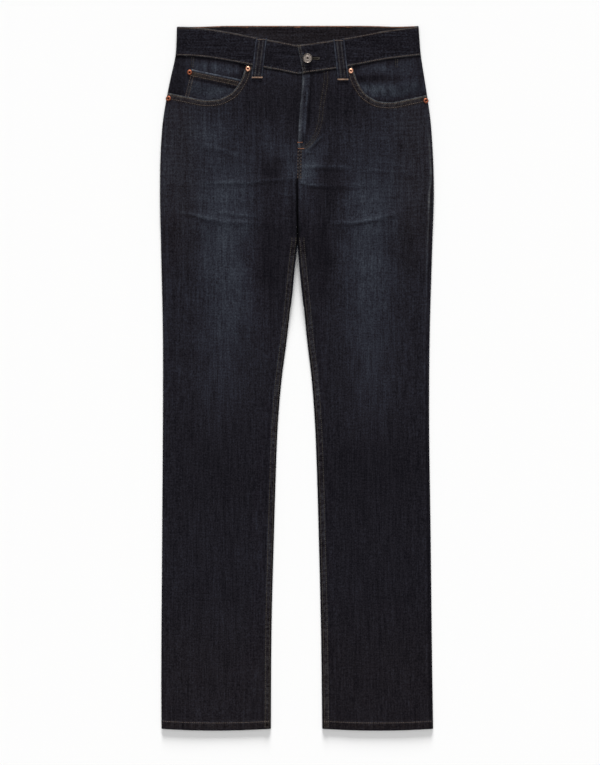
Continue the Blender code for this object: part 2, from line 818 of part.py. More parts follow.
def make_button():
    """The waist button: a dished cap on the shank that goes through the buttonhole."""
    over = BAND_THICK + 2 * SEAM_GAP
    rim = BUTTON_RADIUS
    profile = (
        (0, over + 2.2),
        (3.0, over + 2.2),
        (4.2, over + 2.9),
        (rim - 1.0, over + 2.9),
        (rim, over + 2.1),
        (rim, over + 0.9),
        (rim - 0.8, over),
        (2.4, over),
        (2.4, 0),
        (0, 0),
    )
    x, down = BUTTON_AT
    spun("waist_button", profile, NICKEL, 24, x, down, float(base(down)) + BAND_RISE + SEAM_GAP)


def make_rivet(name, x, down, z, tilt=0.0):
    """A domed copper rivet with a small hollow in its middle."""
    r = RIVET_RADIUS
    profile = ((0, 0.7), (0.9, 0.7), (1.6, 1.5), (2.9, 1.4), (r, 0.5), (r, 0), (0, 0))
    spun(name, profile, COPPER, 14, x, down, z + SEAM_GAP, tilt)


def make_side_rivet(side):
    """A rivet where the pocket mouth meets the side seam, tangent to the turn of the cloth."""
    down = SIDE_RIVETS[side]
    edge, seam = float(outer_edge(side, down)), float(seam_height(down))
    rise = float(front_height(side, edge, down)) - seam
    phase = math.radians(SIDE_RIVET_PHASE)
    x = edge - SIGN[side] * SIDE_TURN * (1 - math.cos(phase))
    lean = SIGN[side] * math.atan2(rise * math.cos(phase), SIDE_TURN * math.sin(phase))
    make_rivet(f"rivet_{side}_side", x, down, seam + rise * math.sin(phase), lean)


def make_rivets():
    """Rivets on the upper ends of the pocket mouths, at the side seams and on the coin pocket's corner."""
    for side in SIGN:
        x, down = MOUTH_RIVETS[side]
        make_rivet(f"rivet_{side}_top", x, down, float(front_height(side, x, down)))
        make_side_rivet(side)
    x, down = COIN_RIVET
    make_rivet("rivet_coin", x, down, float(facing_height("right", x, down)) + COIN_GAP + CLOTH)


def build():
    """Makes every piece of the garment, from an empty scene."""
    for obj in list(bpy.data.objects):
        bpy.data.objects.remove(obj)
    for side in SIGN:
        make_front(side)
        make_back(side)
        make_yoke(side)
        make_facing(side)
        make_front_band(side)
        make_front_loop(side)
        make_back_pocket(side)
    make_back_band()
    make_coin_pocket()
    make_fly_shield()
    make_fly_zip()
    for place_name, x in BACK_LOOPS.items():
        make_back_loop(place_name, x)
    make_button()
    make_rivets()


build()
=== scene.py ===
# %% [markdown]
# # Slim fit jeans, laid flat
#
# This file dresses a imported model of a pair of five-pocket jeans. The model gives each sewn piece its
# place and size. Here every piece becomes a thin, closed sheet of denim on the same form, with the
# rounded folds, the rows of topstitching, the puckers that the stitching pulls in, and the metal.
#
# A sheet could be pushed into shape by simulation, but these jeans are pressed and lie still. So each
# face is written as a height over the table: a function of x and of the distance down the garment.
# Whatever lies on a face, such as a stitch, asks the same function for its height and sits exactly on
# the cloth.

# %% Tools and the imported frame
import math

import bpy
import numpy as np
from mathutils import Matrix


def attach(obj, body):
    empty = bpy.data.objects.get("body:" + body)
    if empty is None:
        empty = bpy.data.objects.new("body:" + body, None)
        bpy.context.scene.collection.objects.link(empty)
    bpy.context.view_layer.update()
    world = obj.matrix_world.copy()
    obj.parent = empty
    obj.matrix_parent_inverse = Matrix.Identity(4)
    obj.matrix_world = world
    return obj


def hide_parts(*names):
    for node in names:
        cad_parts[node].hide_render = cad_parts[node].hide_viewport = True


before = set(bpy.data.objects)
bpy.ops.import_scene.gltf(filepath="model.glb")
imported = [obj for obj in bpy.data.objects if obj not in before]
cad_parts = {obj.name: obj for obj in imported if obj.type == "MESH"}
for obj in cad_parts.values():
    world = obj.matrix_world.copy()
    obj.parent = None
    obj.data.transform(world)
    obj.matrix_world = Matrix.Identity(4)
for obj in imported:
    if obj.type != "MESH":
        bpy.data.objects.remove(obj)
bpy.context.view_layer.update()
MM = 0.001

# %% [markdown]
# ## The sizes of the garment
#
# Sizes are in millimetres. x runs to the wearer's left and "down" is the distance below the back
# waistband's top edge. The tables are the few measures that a pattern cutter would take: a row for each
# height, a column for each edge. A smooth curve through a column gives every place between.

# %% Sizes shared by the pieces
LENGTH = 1100.0
CLOTH = 1.2
SEAM_GAP = 0.3
BAND_THICK, BAND_DEPTH = 2.6, 45.8
BAND_RISE = 7.2  # the front waistband's face over the back's outer face
BAND_LAP = (55, 39)  # x between which the left waistband rises over the right one
BACK_TOP, BACK_DIP, BACK_SAG = 0.6, 1.7, 1.3  # down of the back's top edge, its dip and its sag
HEM_DEPTH, HEM_THICK = 11.0, 2.4
STRAP_THICK = 1.3  # belt loops and back pockets
LIFT = STRAP_THICK + SEAM_GAP  # the seat lies this high, on its loops and pockets
FELL_RISE, FELL_WIDTH = 0.7, 9.6
MOUTH_DROP = 3.2  # how far the facing lies under the front panel's face at the mouth
FLY_RISE, ZIP_RISE = CLOTH + SEAM_GAP, 1.2
COIN_GAP = 0.4
LOOP_WIDTH = 17.0
SIDE_TURN, UNDER_TURN = 5.0, 4.0  # how far a side edge takes to turn over, on the face and on the underside
CREASE_TURN, BAND_TURN = 6.0, 3.6  # the same at the legs' inner edges and at the waistband's fold
YOKE_SIDE, YOKE_CENTRE = 82.0, 118.0
SIGN = {"right": -1, "left": 1}

# Outer edges: down, wearer's right, wearer's left
OUTLINE = (
    (0, 187.4, 189.8), (49, 189.9, 193.6), (85, 197.7, 199.2), (116, 203.9, 204.0), (148, 209.0, 208.3),
    (179, 211.7, 210.8), (257, 213.7, 213.6), (335, 212.4, 211.4), (491, 209.2, 207.0), (584, 209.2, 206.2),
    (803, 210.5, 208.7), (1052, 211.7, 211.7), (1100, 211.4, 212.5),
)
# Inner edges of the legs: down, right leg's x, left leg's x
INSEAMS = (
    (338, 0.6, 0.9), (381, -4.3, 4.7), (428, -8.8, 9.5), (491, -15.9, 15.6), (553, -24.0, 22.9),
    (616, -29.3, 27.6), (709, -33.2, 31.4), (803, -36.0, 34.0), (928, -39.3, 37.0), (1100, -40.6, 39.3),
)
# Fly edge and front crotch seam: down, x
CENTRE_FRONT = ((30, 0.0), (75, 7.7), (132, 4.0), (176, 1.4), (194, 0.9), (338, 0.9))
# Top edge of the front waistband: x, down
WAIST_EDGE = (
    (-190, 2.3), (-150, 4.0), (-103, 11.1), (-64, 18.7), (-13, 28.2), (1, 31.0),
    (14, 29.4), (54, 23.7), (99, 15.6), (136, 8.7), (192, 1.6),
)
# Height of the front face over the back's outer face: down, rise
LOFT = ((40, 6.2), (260, 6.2), (340, 5.9), (480, 5.4), (800, 5.0), (1000, 5.2), (1085, 6.0), (1100, 6.0))
# Pocket mouth: share of the way from its top to the side seam, depth under its top
MOUTH = (
    (0.0, 0.0), (0.02, 7.2), (0.05, 17.9), (0.13, 35.7),
    (0.27, 49.7), (0.48, 55.2), (0.74, 50.2), (1.0, 43.7),
)
MOUTH_TOP = {"right": (79.0, 61.3), "left": (87.0, 64.8)}  # distance from the centre, down
# Wear creases across the thighs: x and down of both ends, sag of the middle, height
CREASES = (
    (-150, 243, -2, 237, 3.0, 0.9),
    (3, 243, 85, 254, -1.0, 0.9),
    (-178, 291, -62, 308, 5.0, 1.0),
    (-127, 289, -62, 298, 1.0, 0.7),
    (58, 308, 165, 291, 5.0, 1.0),
    (14, 219, 78, 222, -1.5, 0.7),
    (-60, 208, -2, 206, 0.5, 0.5),
    (-160, 182, -108, 197, 1.0, 0.5),
    (12, 198, 44, 168, 0.0, 0.8),
)
CREASE_WIDTH = 6.0

FRONT_LOOPS = {"right": (-55.4, -63.0, 84.5), "left": (65.0, 72.3, 87.5)}  # top x, foot x, foot down
BACK_LOOPS = {"right": -81.0, "centre": 0.0, "left": 81.0}
BACK_LOOP_SPAN = (1.0, 62.0)
BACK_POCKET = ((40, 148), (176, 139), (171, 262), (113, 294), (53, 268))  # distance from the centre, down
COIN_TOP = ((-164.5, 68.8), (-80.0, 86.4))
COIN_FOOT = ((-178.0, 120.0), (-86.0, 112.0))
FLY_STITCH = (33.0, 128.0, 192.0)  # distance from the fly's edge, down where it turns in, down of its foot
FLY_TUCK = 4.2  # how far the right front goes in under the fly
UNDERLAP_END = 36.0  # x where the right waistband ends, under the left one
BAND_END = ((31.0, -0.3), (76.0, 9.0))  # the buttonhole end's slanting edge: down, x
BUTTON_AT = (16.4, 52.4)
BUTTONHOLE = (2.9, 0.5, 17.0)  # the eye's radius, the slit's half width, its reach from the button
MOUTH_RIVETS = {"right": (-76.4, 68.3), "left": (84.0, 71.6)}
COIN_RIVET = (-167.2, 74.0)
SIDE_RIVETS = {"right": 114.4, "left": 118.0}
SIDE_RIVET_PHASE = 70  # degrees round the side's turn, from the seam towards the face
CROTCH = 345.0  # down of the point where the legs part
CROTCH_LIFT = 9.0  # how far the legs' inner edges stand up just below it
CROTCH_REACH = 24.0  # how far in from the edge the front is lifted
SEAT_END = (303, 345)  # down where the seat comes off its pockets, and where the legs lie on the table
FLY_FOOT = (186, 196)  # down where the fly's edge becomes the crotch seam
SEAM_SHARE = 0.46  # height of the side seam, as a share of the way from the back's face to the front's
SEAM_CLEAR = 0.15  # how far an inner side stays from the height where front and back meet
LEG_SETTLE = 1.1  # how far a leg's face sinks along its middle
HEM_AT, HEM_BOW = 1096.8, 2.9  # down of the hem at a leg's edges, and how far it bows down between them
print("garment:", LENGTH, "mm long,", OUTLINE[6][1] + OUTLINE[6][2], "mm across the hips")

# %% [markdown]
# ## Curves, steps and bells
#
# Three small functions shape nearly everything: `flow`, a smooth curve through a table, `ease`, a
# smooth step, and `bell`. `wander` and `rumple` are sums of sines whose lengths and phases come from a
# seed. They give the unevenness of hand work, and the same one on every run.

# %% Curve helpers
def flow(table, column, at):
    """Cubic Hermite curve through one column of a table whose first column is the place."""
    rows = np.array(table, float)
    places, values = rows[:, 0], rows[:, column]
    slopes = np.gradient(values, places)
    at = np.clip(at, places[0], places[-1])
    i = np.clip(np.searchsorted(places, at, side="right") - 1, 0, len(places) - 2)
    span = places[i + 1] - places[i]
    t = (at - places[i]) / span
    return (
        values[i] * (1 + 2 * t) * (1 - t) ** 2 + slopes[i] * span * t * (1 - t) ** 2
        + values[i + 1] * t * t * (3 - 2 * t) + slopes[i + 1] * span * t * t * (t - 1)
    )


def ease(start, end, at):
    """0 before start, 1 after end, and t*t*(3-2t) between; start may be the larger."""
    t = np.clip((np.asarray(at, float) - start) / (end - start), 0, 1)
    return t * t * (3 - 2 * t)


def bell(at, centre, width):
    """exp(-((at-centre)/width)^2)."""
    return np.exp(-(((at - centre) / width) ** 2))


def settle(down, following):
    """Repeats down = following(down), which places points whose x and down depend on each other."""
    for _ in range(14):
        down = following(down)
    return down


def wander(t, seed):
    """A slow, uneven wave between about -1 and 1: five sines, each shorter and weaker than the last."""
    rng = np.random.default_rng(seed)
    terms = [np.sin(t * rng.uniform(0.7, 1.6) * k + rng.uniform(0, 6.3)) / k for k in range(1, 6)]
    return sum(terms) / 1.7


def rumple(x, down, seed, longest, shortest):
    """Soft unevenness of cloth: eight plane waves of random direction, the longer ones the higher."""
    rng = np.random.default_rng(seed)
    total = 0.0
    for length in np.geomspace(longest, shortest, 8):
        turn, phase = rng.uniform(0, math.pi), rng.uniform(0, 2 * math.pi)
        wave = (x * math.cos(turn) + down * math.sin(turn)) * 2 * math.pi / length
        total = total + np.sin(wave + phase) * (length / longest) ** 0.7
    return total / 3


print("curves: the outer edge at the knee is at x =", round(float(flow(OUTLINE, 2, 620)), 1))

# %% [markdown]
# ## Edges and faces
#
# The edges of the pattern come first: the side seam, the fly's edge and the inseams, the waistband, the
# pocket mouth. Then the height of the front's face. The seat lies on its back pockets and loops, so the
# whole upper part is lifted by their thickness and comes down to the table below the crotch.

# %% Edges of the pattern
def base(down):
    """Outer face of the back over the table."""
    return LIFT * (1 - ease(*SEAT_END, down))


def outer_edge(side, down):
    return SIGN[side] * flow(OUTLINE, 1 if side == "right" else 2, down)


def fly_edge(down):
    """x of the fly's edge, and below it of the front crotch seam."""
    return flow(CENTRE_FRONT, 1, down)


def inner_edge(side, down):
    """The centre seam, and below the crotch the leg's inner edge.

    Half a seam gap is left, but not where the crotch seam holds both fronts together.
    """
    leg = flow(INSEAMS, 1 if side == "right" else 2, down)
    edge = np.where(np.less(down, INSEAMS[0][0]), fly_edge(down), leg)
    shut = ease(190, 200, down) * ease(352, 338, down)
    return edge + SIGN[side] * SEAM_GAP / 2 * (1 - 1.3 * shut)


def from_edges(side, x, down):
    """Distances of a place from the side seam and from the inner edge."""
    return np.abs(x - outer_edge(side, down)), np.abs(x - inner_edge(side, down))


def seam_height(down, shift=0.0):
    """Where front and back meet along a side edge, a little under half way up."""
    return base(down) + SEAM_SHARE * flow(LOFT, 1, down) + shift


def inner_lift(side, x, down, reach=CROTCH_REACH):
    """The bulk of four seams at the crotch holds the inner edges up.

    It is a bell from the edge, fading down the leg.
    """
    return CROTCH_LIFT * ease(300, 350, down) * ease(500, 395, down) * bell(x, inner_edge(side, down), reach)


def waist_edge(x):
    return flow(WAIST_EDGE, 1, x)


def front_top(x):
    return waist_edge(x) + BAND_DEPTH + SEAM_GAP


def back_edge(x):
    """The back band's top dips at the wearer's right and sags a little at the left."""
    return BACK_TOP + BACK_DIP * ease(-105, -165, x) + BACK_SAG * bell(x, 155, 28)


def yoke_line(x):
    return YOKE_CENTRE + (YOKE_SIDE - YOKE_CENTRE) * np.abs(x) / 200.0


def hem_line(share):
    """The hem bows down a little across a leg: a parabola over the leg's width."""
    return HEM_AT + HEM_BOW * (1 - (2 * share - 1) ** 2)


def width_at(side, down):
    return np.abs(inner_edge(side, down) - outer_edge(side, down))


def share_at(side, x, down):
    """Share of the way from the side seam to the inner edge."""
    return np.abs(x - outer_edge(side, down)) / width_at(side, down)


def mouth_end(side):
    """Distance from the centre to where the pocket mouth meets the side seam."""
    return abs(float(outer_edge(side, MOUTH_TOP[side][1] + MOUTH[-1][1])))


def mouth_depth(side, x):
    """Down of the pocket mouth's edge at x."""
    start, top = MOUTH_TOP[side]
    return top + flow(MOUTH, 1, (np.abs(x) - start) / (mouth_end(side) - start))


# %% Height of the front's face
def crease_height(x, down):
    """Ridges that sitting presses across the thighs: a bell across each line, a sine's root along it."""
    total = 0.0
    for x0, d0, x1, d1, sag, height in CREASES:
        along = np.clip((x - x0) / (x1 - x0), 0, 1)
        middle = d0 + (d1 - d0) * along + sag * 4 * along * (1 - along)
        total += height * np.sin(np.pi * along) ** 0.5 * bell(down, middle, CREASE_WIDTH)
    return total


def fly_curve(down):
    """Distance from the fly's edge to its J-shaped stitching: a quarter of an ellipse at the foot."""
    reach, turn, foot = FLY_STITCH
    t = np.clip((np.asarray(down, float) - turn) / (foot - turn), 0, 1)
    return reach * np.sqrt(1 - t**2)


def fly_height(x, down):
    """The fly lies over the right front, with the zip as a ridge beside its edge."""
    into = x - fly_edge(down)
    over = FLY_RISE * ease(15, 4, into - fly_curve(down)) * ease(192, 172, down)
    return over + ZIP_RISE * ease(0.5, 4, into) * ease(15, 10, into) * ease(186, 168, down)


def front_height(side, x, down):
    """Face of a front panel away from its edges. Each leg settles a little along its middle."""
    hollow = np.sin(np.pi * np.clip(share_at(side, x, down), 0, 1)) ** 2
    hollow = hollow * ease(340, 480, down) * ease(1090, 1030, down)
    face = base(down) + flow(LOFT, 1, down) - LEG_SETTLE * hollow
    face = face + crease_height(x, down) + 0.6 * inner_lift(side, x, down)
    return face + fly_height(x, down) if side == "left" else face


def nose(distance, reach):
    """1 at an edge and 0 from reach inwards: 1 - sqrt(1 - c^2), where c = 1 - distance / reach."""
    c = 1 - np.clip(distance / reach, 0, 1)
    return 1 - np.sqrt(1 - c * c)


def turned(face, edge, distance, reach):
    """Turns a face over at an edge: a quarter of an ellipse, from the edge's height up to the face."""
    return (edge - face) * nose(distance, reach)


print("front face at the thigh:", round(float(front_height("left", 100.0, 400.0)), 2), "mm up")

# %% [markdown]
# ## Rows of stitching
#
# A row is a line of points in x and down. It can say how far any place lies to its side and how far
# along, which is what the cloth needs to dent under it, and it can step along itself, which is what the
# thread needs.

# %% A row of stitching
FAR = 999.0


class Row:
    """A line on the cloth, kept as points one millimetre apart."""

    def __init__(self, points):
        points = np.asarray(points, float)
        run = np.concatenate([[0], np.cumsum(np.linalg.norm(np.diff(points, axis=0), axis=1))])
        self.length = run[-1]
        self.run = np.linspace(0, self.length, max(int(self.length) + 1, 3))
        self.points = np.stack([np.interp(self.run, run, points[:, k]) for k in (0, 1)], axis=1)
        heading = np.gradient(self.points, self.run, axis=0)
        self.heading = heading / np.linalg.norm(heading, axis=1, keepdims=True)

    def at(self, s):
        """Points at distances s along the row."""
        return np.stack([np.interp(s, self.run, self.points[:, k]) for k in (0, 1)], axis=-1)

    def beside(self, distance):
        """The same row moved to its right-hand side, seen with down as the second axis."""
        aside = np.stack([-self.heading[:, 1], self.heading[:, 0]], axis=1)
        return Row(self.points + distance * aside)

    def reach(self, x, down, near=16.0):
        """Signed distance to the side and distance along, for places near the row; the others get FAR."""
        x, down = np.broadcast_arrays(np.asarray(x, float), np.asarray(down, float))
        off, along = np.full(x.shape, FAR), np.zeros(x.shape)
        low, high = self.points.min(axis=0) - near, self.points.max(axis=0) + near
        close = (x > low[0]) & (x < high[0]) & (down > low[1]) & (down < high[1])
        spots = np.stack([x[close], down[close]], axis=1)
        if not len(spots):
            return off, along
        nearest = np.concatenate([
            np.argmin(((part[:, None] - self.points[None]) ** 2).sum(axis=2), axis=1)
            for part in np.array_split(spots, len(spots) // 4000 + 1)
        ])
        step = spots - self.points[nearest]
        ahead = (step * self.heading[nearest]).sum(axis=1)
        side = step[:, 1] * self.heading[nearest, 0] - step[:, 0] * self.heading[nearest, 1]
        past = np.abs(ahead) > 1.5
        side = np.where(past, np.copysign(np.hypot(side, ahead), side), side)
        off[close], along[close] = side, self.run[nearest] + np.clip(ahead, -1, 1)
        return off, along


def line(x_of, start, end, count=200):
    """A row that runs down the garment, its x given for each down."""
    down = np.linspace(start, end, count)
    return Row(np.stack([x_of(down) + 0 * down, down], axis=1))


def cross(down_of, start, end, count=200):
    """A row that runs across the garment, its down given for each x."""
    x = np.linspace(start, end, count)
    return Row(np.stack([x, down_of(x) + 0 * x], axis=1))


print("row test:", round(cross(waist_edge, -180, 0).length, 1), "mm along the right waist edge")

# %% [markdown]
# ## How a sewn seam looks
#
# Two rows of stitches hold several layers. Each row pulls a groove, and the cloth between them swells
# and puckers, because the thread is a little shorter than the cloth. Wear then bleaches the tops of the
# puckers, so the same wave gives both a height and a lighter tone.

# %% Seam relief
def sewn(off, along, rows, seed, puff=0.25, pucker=0.2, pitch=8.0, slant=0.5):
    """Height and wear beside a seam. off is the distance in from the seam's edge.

    Grooves are bells at the rows. Between them the height is puff + pucker * wave and the wear is wave,
    where wave = sin(2 pi along / pitch + slant * off), with a phase and a strength that wander.
    """
    low, high = min(rows), max(rows)
    groove = sum(bell(off, row, 0.9) for row in rows)
    between = ease(low - 1.8, low + 0.8, off) * ease(high + 3.0, high - 0.5, off)
    wave = np.sin(2 * math.pi * along / pitch + slant * off + 1.5 * wander(along / 19, seed))
    strength = 0.65 + 0.35 * wander(along / 31, seed + 50)
    height = between * (puff + pucker * strength * wave) - 0.22 * groove
    return height, between * strength * wave - 0.5 * groove


print("seam test:", [round(float(v), 2) for v in sewn(np.array(5.0), np.array(3.0), (2, 8), 1)])

# %% [markdown]
# ## Where the rows run
#
# These are the rows of the front: round the pocket mouths, the J of the fly, both sides of each inseam,
# the crotch seam and the hems.

# %% Rows of the front
MOUTH_ROWS = (2.8, 9.0)
INSEAM_ROWS = {"right": (2.8, 8.9), "left": (3.5, 10.0)}
CROTCH_ROWS = (0.9, 5.6)
HEM_ROW = 12.0


def mouth_line(side):
    """The pocket mouth's edge from its top to the side seam."""
    start, end = MOUTH_TOP[side][0], mouth_end(side)
    x = SIGN[side] * (start + np.linspace(0, 1, 300) ** 1.5 * (end - start))
    return Row(np.stack([x, mouth_depth(side, x)], axis=1))


def mouth_row(side, distance):
    """A row inside the front panel, at a distance from the mouth's edge."""
    row = mouth_line(side).beside(distance * SIGN[side])
    x, down = row.points.T
    return Row(row.points[(down > front_top(x) + 0.6) & (np.abs(x) < np.abs(outer_edge(side, down)) - 1.5)])


def fly_row(distance):
    """One of the fly's J-shaped rows, at a distance inside the fly's curve."""
    reach, turn, foot = FLY_STITCH
    straight = np.linspace(float(front_top(45.0)) + 0.5, turn, 60)
    angle = np.linspace(0, math.pi / 2, 60)[1:]
    x = np.concatenate([
        fly_edge(straight) + (reach + 7.0 - distance) - 3.5 * ease(75, 140, straight),
        fly_edge(turn) + (reach + 3.5 - distance) * np.cos(angle),
    ])
    down = np.concatenate([straight, turn + (foot + 2 - distance * 0.8 - turn) * np.sin(angle)])
    keep = x > fly_edge(down) + 9.5 * ease(196, 180, down) * ease(160, 185, down)
    return Row(np.stack([x, down], axis=1)[keep])


rows = {
    "fly": [fly_row(0.0), fly_row(5.2)],
    "crotch": [line(lambda d, k=k: fly_edge(d) + k, 195, 240) for k in CROTCH_ROWS],
}
for side in SIGN:
    rows[f"mouth_{side}"] = [mouth_row(side, d) for d in MOUTH_ROWS]
    rows[f"inseam_{side}"] = [
        line(lambda d, k=k, side=side: inner_edge(side, d) + SIGN[side] * k, CROTCH - 14, 1095, 500)
        for k in INSEAM_ROWS[side]
    ]
print("rows:", {name: round(sum(r.length for r in some)) for name, some in rows.items()})

# %% [markdown]
# ## Tone, roping and rust
#
# A worn pair is not one blue. The thighs are rubbed pale, creases pressed while sitting are paler
# still, and the inner legs stay dark. Each point of the cloth carries three numbers. "tone" is the
# brightness that a picture would show, from 0 to 1, and the dye's colour follows from it. In creases,
# under folded edges and below ridges the tone is also darkened as painted shade. "rope" says how
# strongly wear has speckled the puckers of a seam. "rust" says how far brown thread and old dye have
# warmed the cloth.

# %% Tone of the front
PALE_LINES = (  # x and down of start, middle and end, half width, strength
    ((-211, 246), (-178, 244), (-143, 245), 2.4, 0.35),
    ((-151, 246.5), (-73, 244), (0, 237), 1.7, 0.85),
    ((-28, 262.5), (-11, 264.5), (1, 263), 1.6, 0.6),
    ((-125, 289), (-89, 295), (-54, 298.5), 1.8, 0.85),
    ((-192, 287), (-128, 303), (-66, 307), 1.9, 0.85),
    ((-196, 268), (-150, 272), (-100, 270), 4.0, 0.22),
    ((4, 243.5), (23, 248), (48, 250.5), 1.8, 1.6),
    ((45, 250), (90, 249), (135, 243), 2.4, 0.4),
    ((4, 220.5), (36, 219.5), (84, 222), 2.0, 0.95),
    ((80, 222), (140, 226), (205, 234), 2.6, 0.35),
    ((59, 204), (125, 212), (190, 222), 3.5, 0.28),
    ((52, 306.5), (101, 305.5), (158, 291.5), 1.9, 1.0),
    ((-146, 184), (-105, 198), (-58, 210), 3.2, 0.5),
    ((-160, 166), (-120, 176), (-80, 190), 5.0, 0.3),
    ((-211, 184), (-203, 186), (-192, 191), 2.2, 0.6),
    ((11, 198), (29, 181.5), (45, 169), 2.2, 1.1),
    ((12, 198), (19, 197.5), (27, 195.5), 1.3, 0.8),
)
BLUE_PATCHES = (  # x, down, half width, half height, strength
    (16, 230, 19, 19, 0.070), (22, 202, 20, 26, 0.02), (-12, 222, 10, 22, 0.02), (36, 190, 14, 10, 0.02),
    (-90, 262, 34, 12, 0.012), (98, 264, 26, 10, 0.02), (-120, 383, 30, 26, 0.012),
    (-132, 168, 36, 26, 0.036), (-92, 280, 24, 16, -0.03), (76, 254, 15, 18, -0.036),
    (140, 168, 40, 20, 0.012), (-40, 228, 24, 14, -0.025), (58, 250, 14, 40, -0.02),
    (95, 350, 14, 14, -0.02), (14, 226, 9, 16, 0.015),
)
THIGHS = ((-109.0, 0.034, 0.066), (109.0, 0.029, 0.062))  # x of the middle, hip and thigh brightness


def broad_tone(x, down):
    """Brightness of the large areas: a dark ground, hips, two thigh patches and dark inner legs.

    Each thigh is a bell across, which narrows and fades down the leg.
    """
    ground = 0.110 - 0.008 * bell(down, 695, 55) - 0.006 * ease(20, 80, x) * ease(600, 680, down)
    hips = 0.25 * ease(640, 540, down) + 0.75 * ease(345, 260, down)
    shaded = ease(150, 70, np.abs(x)) * bell(down, 120, 50)
    total = ground - 0.036 * shaded
    for middle, hip, thigh in THIGHS:
        half = ease(-12, 12, x * math.copysign(1, middle))
        reach = 43 - 10 * ease(420, 540, down)
        rubbed = ease(180, 320, down) * (1 - 0.5 * ease(390, 540, down)) * ease(680, 540, down)
        dark = 0.033 * bell(x, 0.4 * middle, 20) * ease(190, 232, down) * ease(480, 380, down)
        drift = 12 * ease(430, 580, down) * math.copysign(1, middle)
        total = total + half * (hip * hips + thigh * bell(x, middle + drift, reach) * rubbed - dark)
    return total - 0.012 * bell(x, 0, 18) * ease(262, 290, down) * ease(520, 440, down)


def pale_lines(x, down):
    """Rise and tone of the sharp creases: a bell across each line, fading to its ends, and a band of painted
    shade below.
    """
    rise, tone = 0.0, 0.0
    for k, (start, middle, end, width, strength) in enumerate(PALE_LINES):
        along = np.clip((x - start[0]) / (end[0] - start[0]), 0, 1)
        centre = flow((start, middle, end), 1, x) + 0.9 * wander(x / 14, 300 + k)
        fade = strength * np.abs(np.sin(np.pi * along ** 0.75)) ** 0.7 * (0.8 + 0.3 * wander(x / 9, 320 + k))
        rise = rise + 0.22 * fade * bell(down, centre, 1.5 * width)
        # painted shade: a dark band on each crease's lower side, away from the key light
        below = bell(down, centre + 2.6 * width, 1.6 * width)
        tone = tone + fade * (0.082 * bell(down, centre, width) - 0.03 * below)
    return rise, tone


def patches(x, down, table):
    """Soft oval patches, each a bell across and a bell down."""
    return sum(amount * bell(x, px, wide) * bell(down, py, tall) for px, py, wide, tall, amount in table)


print("tone at the thigh and at the shin:", [round(float(broad_tone(-111.0, d)), 3) for d in (400, 850)])

# %% [markdown]
# ## The face of the front
#
# `front_face` gives the height and the looks of the front's outer face at any x and down, and the
# stitches read it too. It adds up layers: the plain cloth, the pocket mouth, the inseam, the side seam,
# the fly and the hem. Each layer gives its height, tone, rope and rust.

# %% Parts of the front's looks
def fly_looks(side, x, down):
    """The fly and the crotch seam on the left front, and their shade on the right one.

    The fly's folded edge and the row inside it are worn to pale lines, and so is the ridge over the zip. A
    groove of painted shade runs beside that ridge.
    """
    into = x - fly_edge(down)
    if side == "right":
        return 0.0, -0.014 * bell(into, -3, 7) * ease(205, 180, down), 0.0, 0.0
    fly = ease(70, 80, down) * ease(196, 182, down)
    ridge = fly * ease(176, 158, down)
    rub = 0.8 + 0.3 * wander(down / 8, 64)
    face = -0.3 * fly * bell(into, 3.0, 0.9)
    tone = fly * rub * (0.17 * bell(into, 1.7, 2.3) + 0.05 * bell(into, 5.0, 2.0))
    tone += ridge * 0.085 * bell(into, 9.8, 2.2) * (0.8 + 0.35 * wander(down / 5, 65))
    # painted shade in the groove beside the zip's ridge
    tone -= 0.045 * ridge * bell(into, 14.6, 2.2)
    rope, rust = 0.5 * fly * bell(into, 7, 4), 0.25 * fly * bell(into, 2, 3)
    for k, row in enumerate(rows["fly"]):
        off, along = row.reach(x, down, 8)
        beads = 0.5 + 0.5 * np.sin(along / 1.3 + wander(along / 9, 60 + k))
        face -= 0.22 * bell(off, 0, 0.9)
        tone += 0.018 * bell(np.abs(off), 1.6, 1.2) * beads
        rope += 0.35 * bell(off, 0, 2.5)
        rust += 0.4 * bell(off, 0, 2.0)
    seam = ease(188, 200, down) * ease(246, 236, down)
    relief, wear = sewn(into, down, CROTCH_ROWS, 66, 0.3, 0.2, 6.0, 0.6)
    return (face + seam * relief, tone + seam * (0.09 * wear - 0.02 * bell(into, 3.2, 2.5)),
            rope + seam * bell(into, 3, 4), rust + 0.5 * seam * bell(into, 3, 3))


def mouth_looks(side, x, down):
    """The pocket mouth's folded edge, worn pale, and the puckers between its rows."""
    off, along = mouth_line(side).reach(x, down, 20)
    off = off * SIGN[side]
    relief, wear = sewn(off, along, MOUTH_ROWS, 31, 0.25, 0.24, 6.5, 0.9)
    between = ease(0.5, 2.5, off) * ease(12, 9.6, off)
    edge = bell(off, 1.4, 1.7) * (0.8 + 0.3 * wander(along / 3, 33))
    return (relief + 0.35 * bell(off, 1.0, 1.0), 0.03 * wear + 0.17 * edge + 0.008 * between,
            0.7 * between, 0.5 * between + 0.4 * bell(off, 1.5, 1.5))


def fell_width(inner):
    """1 over the felled seam, 0 beyond it."""
    return ease(FELL_WIDTH + 1, FELL_WIDTH - 1, inner)


def inseam_looks(side, inner, down):
    """The felled inseam: its puckers, a pale line beside the fell, and painted shade on the turn of its
    edge.
    """
    leg = ease(CROTCH - 20, CROTCH, down)
    relief, wear = sewn(inner, down, INSEAM_ROWS[side], 41, 0.1, 0.14, 7.5, 0.35)
    roped = ease(1.0, 3.0, inner) * fell_width(inner)
    # painted shade: the -0.035 bell darkens the leg's turned inner edge
    tone = (0.034 * wear + 0.035 * bell(inner, FELL_WIDTH + 0.3, 1.2) + 0.024 * roped
            - 0.035 * bell(inner, 0.6, 1.4) - 0.014 * bell(inner, FELL_WIDTH + 3, 1.6))
    return leg * relief, leg * tone, leg * roped, 0.35 * leg * roped


